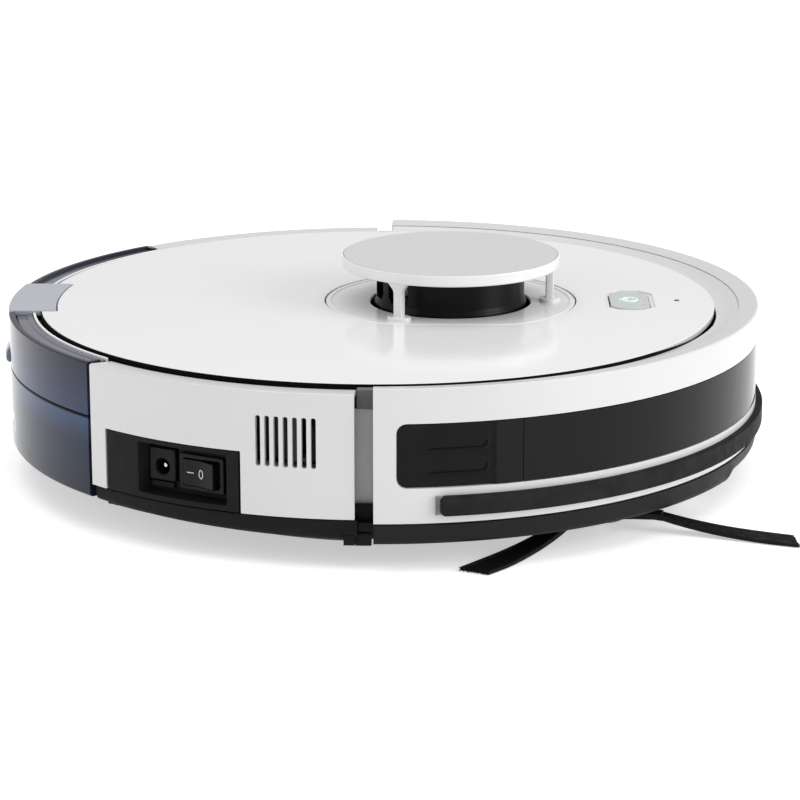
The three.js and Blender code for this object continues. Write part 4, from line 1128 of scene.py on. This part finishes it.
def bin_lid():
    """The upper half, with a grip ridge at the rear and a seat for the latch's tab."""
    start, end = BIN_RANGE
    low_z = BIN_SEAM + 0.3
    ledge = LEDGE_R + 0.2
    inner = SHELL_R - 2.2
    profile = eased([
        (inner, low_z), (SHELL_R, low_z, 0.5), (SHELL_R, BIN_TOP, 0.7), (SHELL_R - 2.6, BIN_TOP, 0.6),
        (SHELL_R - 3.4, 71.6, 0.3), (154.2, 71.2, 0.3), (154.2, 70.9, 0.2), (ledge, 70.9, 0.2), (ledge, 61),
        (154.0, 61), (154.0, 69.6, 0.2), (inner, 70.4, 0.4),
    ], 0.25)
    mesh = turned(bmesh.new(), profile, start, end, step=1.5)
    ends_and_box(mesh, low_z, 62)
    for radius, foot in ((140, 68.2), (163.1, 59)):
        mesh = combine(mesh, prism(bmesh.new(), latch_outline(radius, 180, 27.6), foot, 90))
    ridge_half = 10.4

    def ridge(angle):
        away = abs(angle - 180) / ridge_half
        outer = SHELL_R - 0.8 + 3.1 * math.sqrt(max(0.0, 1 - away ** 6))
        inner = SHELL_R - 1.2
        return eased([(inner, 50.8), (outer, 50.9, 0.8), (outer, 55, 1.8), (inner, 59.2)])

    swept(mesh, spread(180 - ridge_half, 180 + ridge_half, 1.2), ridge)
    piece("bin_lid", mesh, SMOKED, "dustbin_lid", edge=0.2)

    line = rectangle(LEDGE_R + 1.1, LEDGE_R + 2.2, 70.8, 73.3, 0.35)
    shelf = eased([
        (154.8, 71.3), (154.8, 72.6), (157.0, 72.4), (157.4, 72.0), (161.4, 72.0), (161.4, 71.3),
    ], 0.25)
    # The ledges wear the paler copy of the smoked plastic: a painted reflection on their flat tops.
    for name, ends in (("right", (190.2, end - 0.2)), ("left", (start + 0.2, 169.8))):
        for part, outline, look in (("line", line, LINE_WHITE), ("ledge", shelf, LEDGE_REFLECTION_VIOLET)):
            piece(f"bin_{part}_{name}", turned(bmesh.new(), outline, *ends, step=1.5), look, body="dustbin")


def ends_and_box(mesh, z0, z1):
    """The bin's flat ends, its straight inner face and the box that reaches in to the brush."""
    wall = 2.0
    for angle, way in zip(BIN_RANGE, (1, -1)):
        a, b = angle + way * 0.02, angle + way * 0.75
        outline = [at(r, t).to_2d() for r, t in ((157.5, a), (164.0, a), (164.0, b), (157.5, b))]
        prism(mesh, outline, z0 + 0.4, z1 - 0.4)
        if z0 > BIN_SEAM:
            prism(mesh, outline, z1 - 0.5, BIN_TOP - 0.2)
    back, front, right, left = BIN_BOX
    reach, duct_half, chord_half = 111.5, 32, 113
    for slab in (
        (back, front, right, right + wall), (back, front, left - wall, left),
        (front - wall, front, right + wall, -duct_half), (front - wall, front, duct_half, left - wall),
        (-reach - wall, -reach, left, chord_half), (-reach - wall, -reach, -chord_half, right),
    ):
        prism(mesh, rectangle(*slab, 0.4, 2), z0, z1)


def latch():
    tab = prism(bmesh.new(), latch_outline(144.1, SHELL_R, 27, 1.6), 71.6, 74.3)
    lip = prism(bmesh.new(), latch_outline(163.4, SHELL_R, 27), 62.2, 73)
    piece("bin_tab", combine(tab, lip, "UNION"), SILVER, "bin_latch", edge=0.5)


# ---- Side brush ----
def side_brush():
    mesh = turned(bmesh.new(), eased([
        (0, 4.8, 0), (9.5, 4.8), (12, 6.4), (12, 9.2), (7, 9.2), (7, 12.4), (2.9, 12.4), (2.9, 23.5),
        (0, 23.5, 0),
    ]), centre=SIDE, step=8)
    screw_head = [(0, 3.8), (2.6, 3.8), (3.2, 4.6), (3.2, 5.4), (0, 5.4)]
    screw = turned(bmesh.new(), screw_head, centre=SIDE, step=15)
    sleeve = ((8, 4.4, 5.2, 9), (14, 3.2, 5.3, 8.8), (23, 2.9, 5.5, 8.6), (26, 3.5, 5.3, 8.7))
    for degrees in SIDE_ARMS:
        across = at(1, degrees + 90)
        loft(mesh, [
            [at(r, degrees, z, SIDE) + across * u for u, z in rectangle(-wide, wide, foot, top, 1.0)]
            for r, wide, foot, top in sleeve
        ])
    piece("side_hub", mesh, SOCKET_BLACK, "side_brush_hub", edge=0.3)
    piece("side_screw", screw, STEEL, body="side_brush")
    for number, degrees in enumerate(SIDE_ARMS, 1):
        tuft(number, degrees)


def tuft(number, degrees):
    """Bristles that leave the sleeve in a bunch, drop to the floor and lie flat on it."""
    draw = random.Random(number)
    rows, columns, steps = 6, 26, 10
    drift = (0.0, -5.6, -3.0)[number - 1]       # how far its tips trail to one side
    mesh = bmesh.new()
    across, out = at(1, degrees + 90), at(1, degrees)
    root = at(24.5, degrees, 0, SIDE)
    for row in range(rows):
        for column in range(columns):
            side = (column / (columns - 1)) * 2 - 1 + draw.uniform(-0.03, 0.03)
            layer = (row / (rows - 1)) * 2 - 1
            length = 57.4 + draw.uniform(-1.0, 0.4) - 1.6 * side
            path = []
            for t in (k / steps for k in range(steps + 1)):
                width = 2.6 + 3.4 * min(1.0, 1.3 * t) ** 0.8
                height = 1.1 + 6.0 * (1 - t) ** 2.4 + layer * (0.95 - 0.35 * t)
                point = root + out * (length * t) + across * (side * width + drift * t ** 1.5)
                path.append(Vector((point.x, point.y, max(0.25, height))))
            tube(mesh, path, lambda t: 0.3 - 0.08 * t, sides=4)
    piece(f"bristles_{number}", mesh, NYLON, f"side_brush_tuft_{number}")


# ---- Wheels, caster and main brush ----
def drive_wheel(name, side):
    """A hub with five holes, and a tyre whose two rows of lugs are a little out of step."""
    lay = Matrix.Translation((0, 112 * side, WHEEL_R)) @ Matrix.Rotation(-side * math.pi / 2, 4, "X")
    sections = []
    lugs, facets = 30, 6
    for i in range(lugs * facets):
        angle = 360 * i / (lugs * facets)
        tread = WHEEL_R if i % facets in (1, 2, 3) else WHEEL_R - 1.5
        profile = [
            (25.4, -9), (WHEEL_R - 2.6, -9), (tread - 0.7, -8.3), (tread, -7.2), (tread, -1.0),
            (tread - 0.6, -0.6), (tread - 0.6, 0.6), (tread, 1.0), (tread, 7.2), (tread - 0.7, 8.3),
            (WHEEL_R - 2.6, 9), (25.4, 9),
        ]
        sections.append([at(r, angle + (2.0 if z > 0 else 0), z) for r, z in profile])
    tyre = loft(bmesh.new(), sections, True)
    piece(f"tyre_{name}", moved(tyre, lay), TYRE_RUBBER, f"wheel_tyre_{name}")
    hub = turned(bmesh.new(), eased([
        (3.5, -8.5), (25.2, -8.5), (25.2, 8.5), (21, 8.5), (19.2, 5), (8, 5), (6, 8.5), (0, 8.5, 0),
        (0, -2, 0), (3.5, -2),
    ], 0.5), step=5)
    holes = bmesh.new()
    for i in range(5):
        turned(holes, corners(0, 3.1, -12, 12), centre=at(13.6, 72 * i).xy, step=20)
    piece(f"hub_{name}", moved(combine(hub, holes), lay), HUB_GREY, f"wheel_hub_{name}", edge=0.3)


def caster():
    centre = (CASTER_X, 0)
    fork = turned(bmesh.new(), eased([
        (0, 8.2, 0), (14.6, 8.2, 1.2), (17.6, 11, 1.6), (17.6, 24.6), (4, 24.6), (4, 29), (0, 29, 0),
    ], 0.5), centre=centre, step=6)
    fork = combine(fork, prism(bmesh.new(), rectangle(CASTER_X - 18, CASTER_X + 6, -6.9, 6.9, 2), 0, 22.8))
    piece("caster_dome", fork, PAN_BLACK, "caster_fork", edge=0.4)
    lay = Matrix.Translation((CASTER_X - 6, 0, 11)) @ Matrix.Rotation(math.pi / 2, 4, "X")
    roller = turned(bmesh.new(), eased([
        (0, -6.2, 0), (5, -6.2), (6, -5.4), (9.2, -5.4), (10, -6.2), (11, -5.2, 0.8), (11, 5.2, 0.8),
        (10, 6.2), (9.2, 5.4), (6, 5.4), (5, 6.2), (0, 6.2, 0),
    ], 0.3), step=8)
    turned(roller, corners(0, 1.4, -9, 9), step=20)
    piece("caster_roller_wheel", moved(roller, lay), HUB_GREY, "caster_wheel")


def main_brush():
    """Six rubber blades that wind in from both ends and meet in the middle."""
    blades, core, tip, half = 6, 9.0, 17.5, 74.0
    flank = ((core, 9), (core + 1.2, 5.5), (14, 3.4), (tip - 0.4, 2.4), (tip, 1.2))
    blade = [(r, -turn) for r, turn in flank] + list(reversed(flank)) + [(core, 30)]
    sections = []
    for y in spread(-half, half, 4):
        wind = 42 * abs(y) / half
        section = [at(r, 360 * i / blades + wind + turn, y) for i in range(blades) for r, turn in blade]
        sections.append(section)
    mesh = loft(bmesh.new(), sections)
    for side in (-1, 1):
        turned(mesh, rectangle(0.01, 14.5, *mirrored(side, half + 0.1, half + 2.4), 0.5), step=10)
    turned(mesh, corners(0, 3, -81, 81), step=20)
    lay = Matrix.Translation((BRUSH.x, 0, BRUSH.z)) @ Matrix.Rotation(math.pi / 2, 4, "X")
    piece("roller_brush", moved(mesh, lay), BRUSH_RUBBER, "main_brush")


# ---- CAD nodes that stay, with their materials ----
def kept_nodes():
    keep(
        DARK_PLASTIC, "lidar_base", "caster_socket", "brush_housing", "brush_guard", "brush_gearbox",
        "side_brush_gearbox", "fan_housing", "wheel_arm_right", "wheel_arm_left", "filter_frame",
    )
    keep(STEEL, "lidar_motor", "charge_contact_right", "charge_contact_left", "fan_motor")
    keep(BELT_RUBBER, "lidar_belt", edge=0.1)
    keep(BRASS, "lidar_pulley", edge=0.15)
    keep(BOARD, "main_board")
    keep(BATTERY_WRAP, "battery_pack", edge=1.5)
    keep(PAN_BLACK, "battery_door", "fan_impeller", edge=0.3)
    keep(LENS_DARK, "cliff_sensor_1", "cliff_sensor_2")
    keep(PAPER, "dust_filter", edge=0.2)


base_pan()
inner_wall()
deck()
top_cover()
front_trim()
side_shells()
connector_panel()
power_switch()
rocker()
dc_socket()
bumper()
bumper_window()
bumper_strip()
bumper_skirt()
turret_guard()
turret_drum()
start_button()
bin_tank()
bin_lid()
latch()
side_brush()
for name, side in SIDES:
    drive_wheel(name, side)
caster()
main_brush()
kept_nodes()
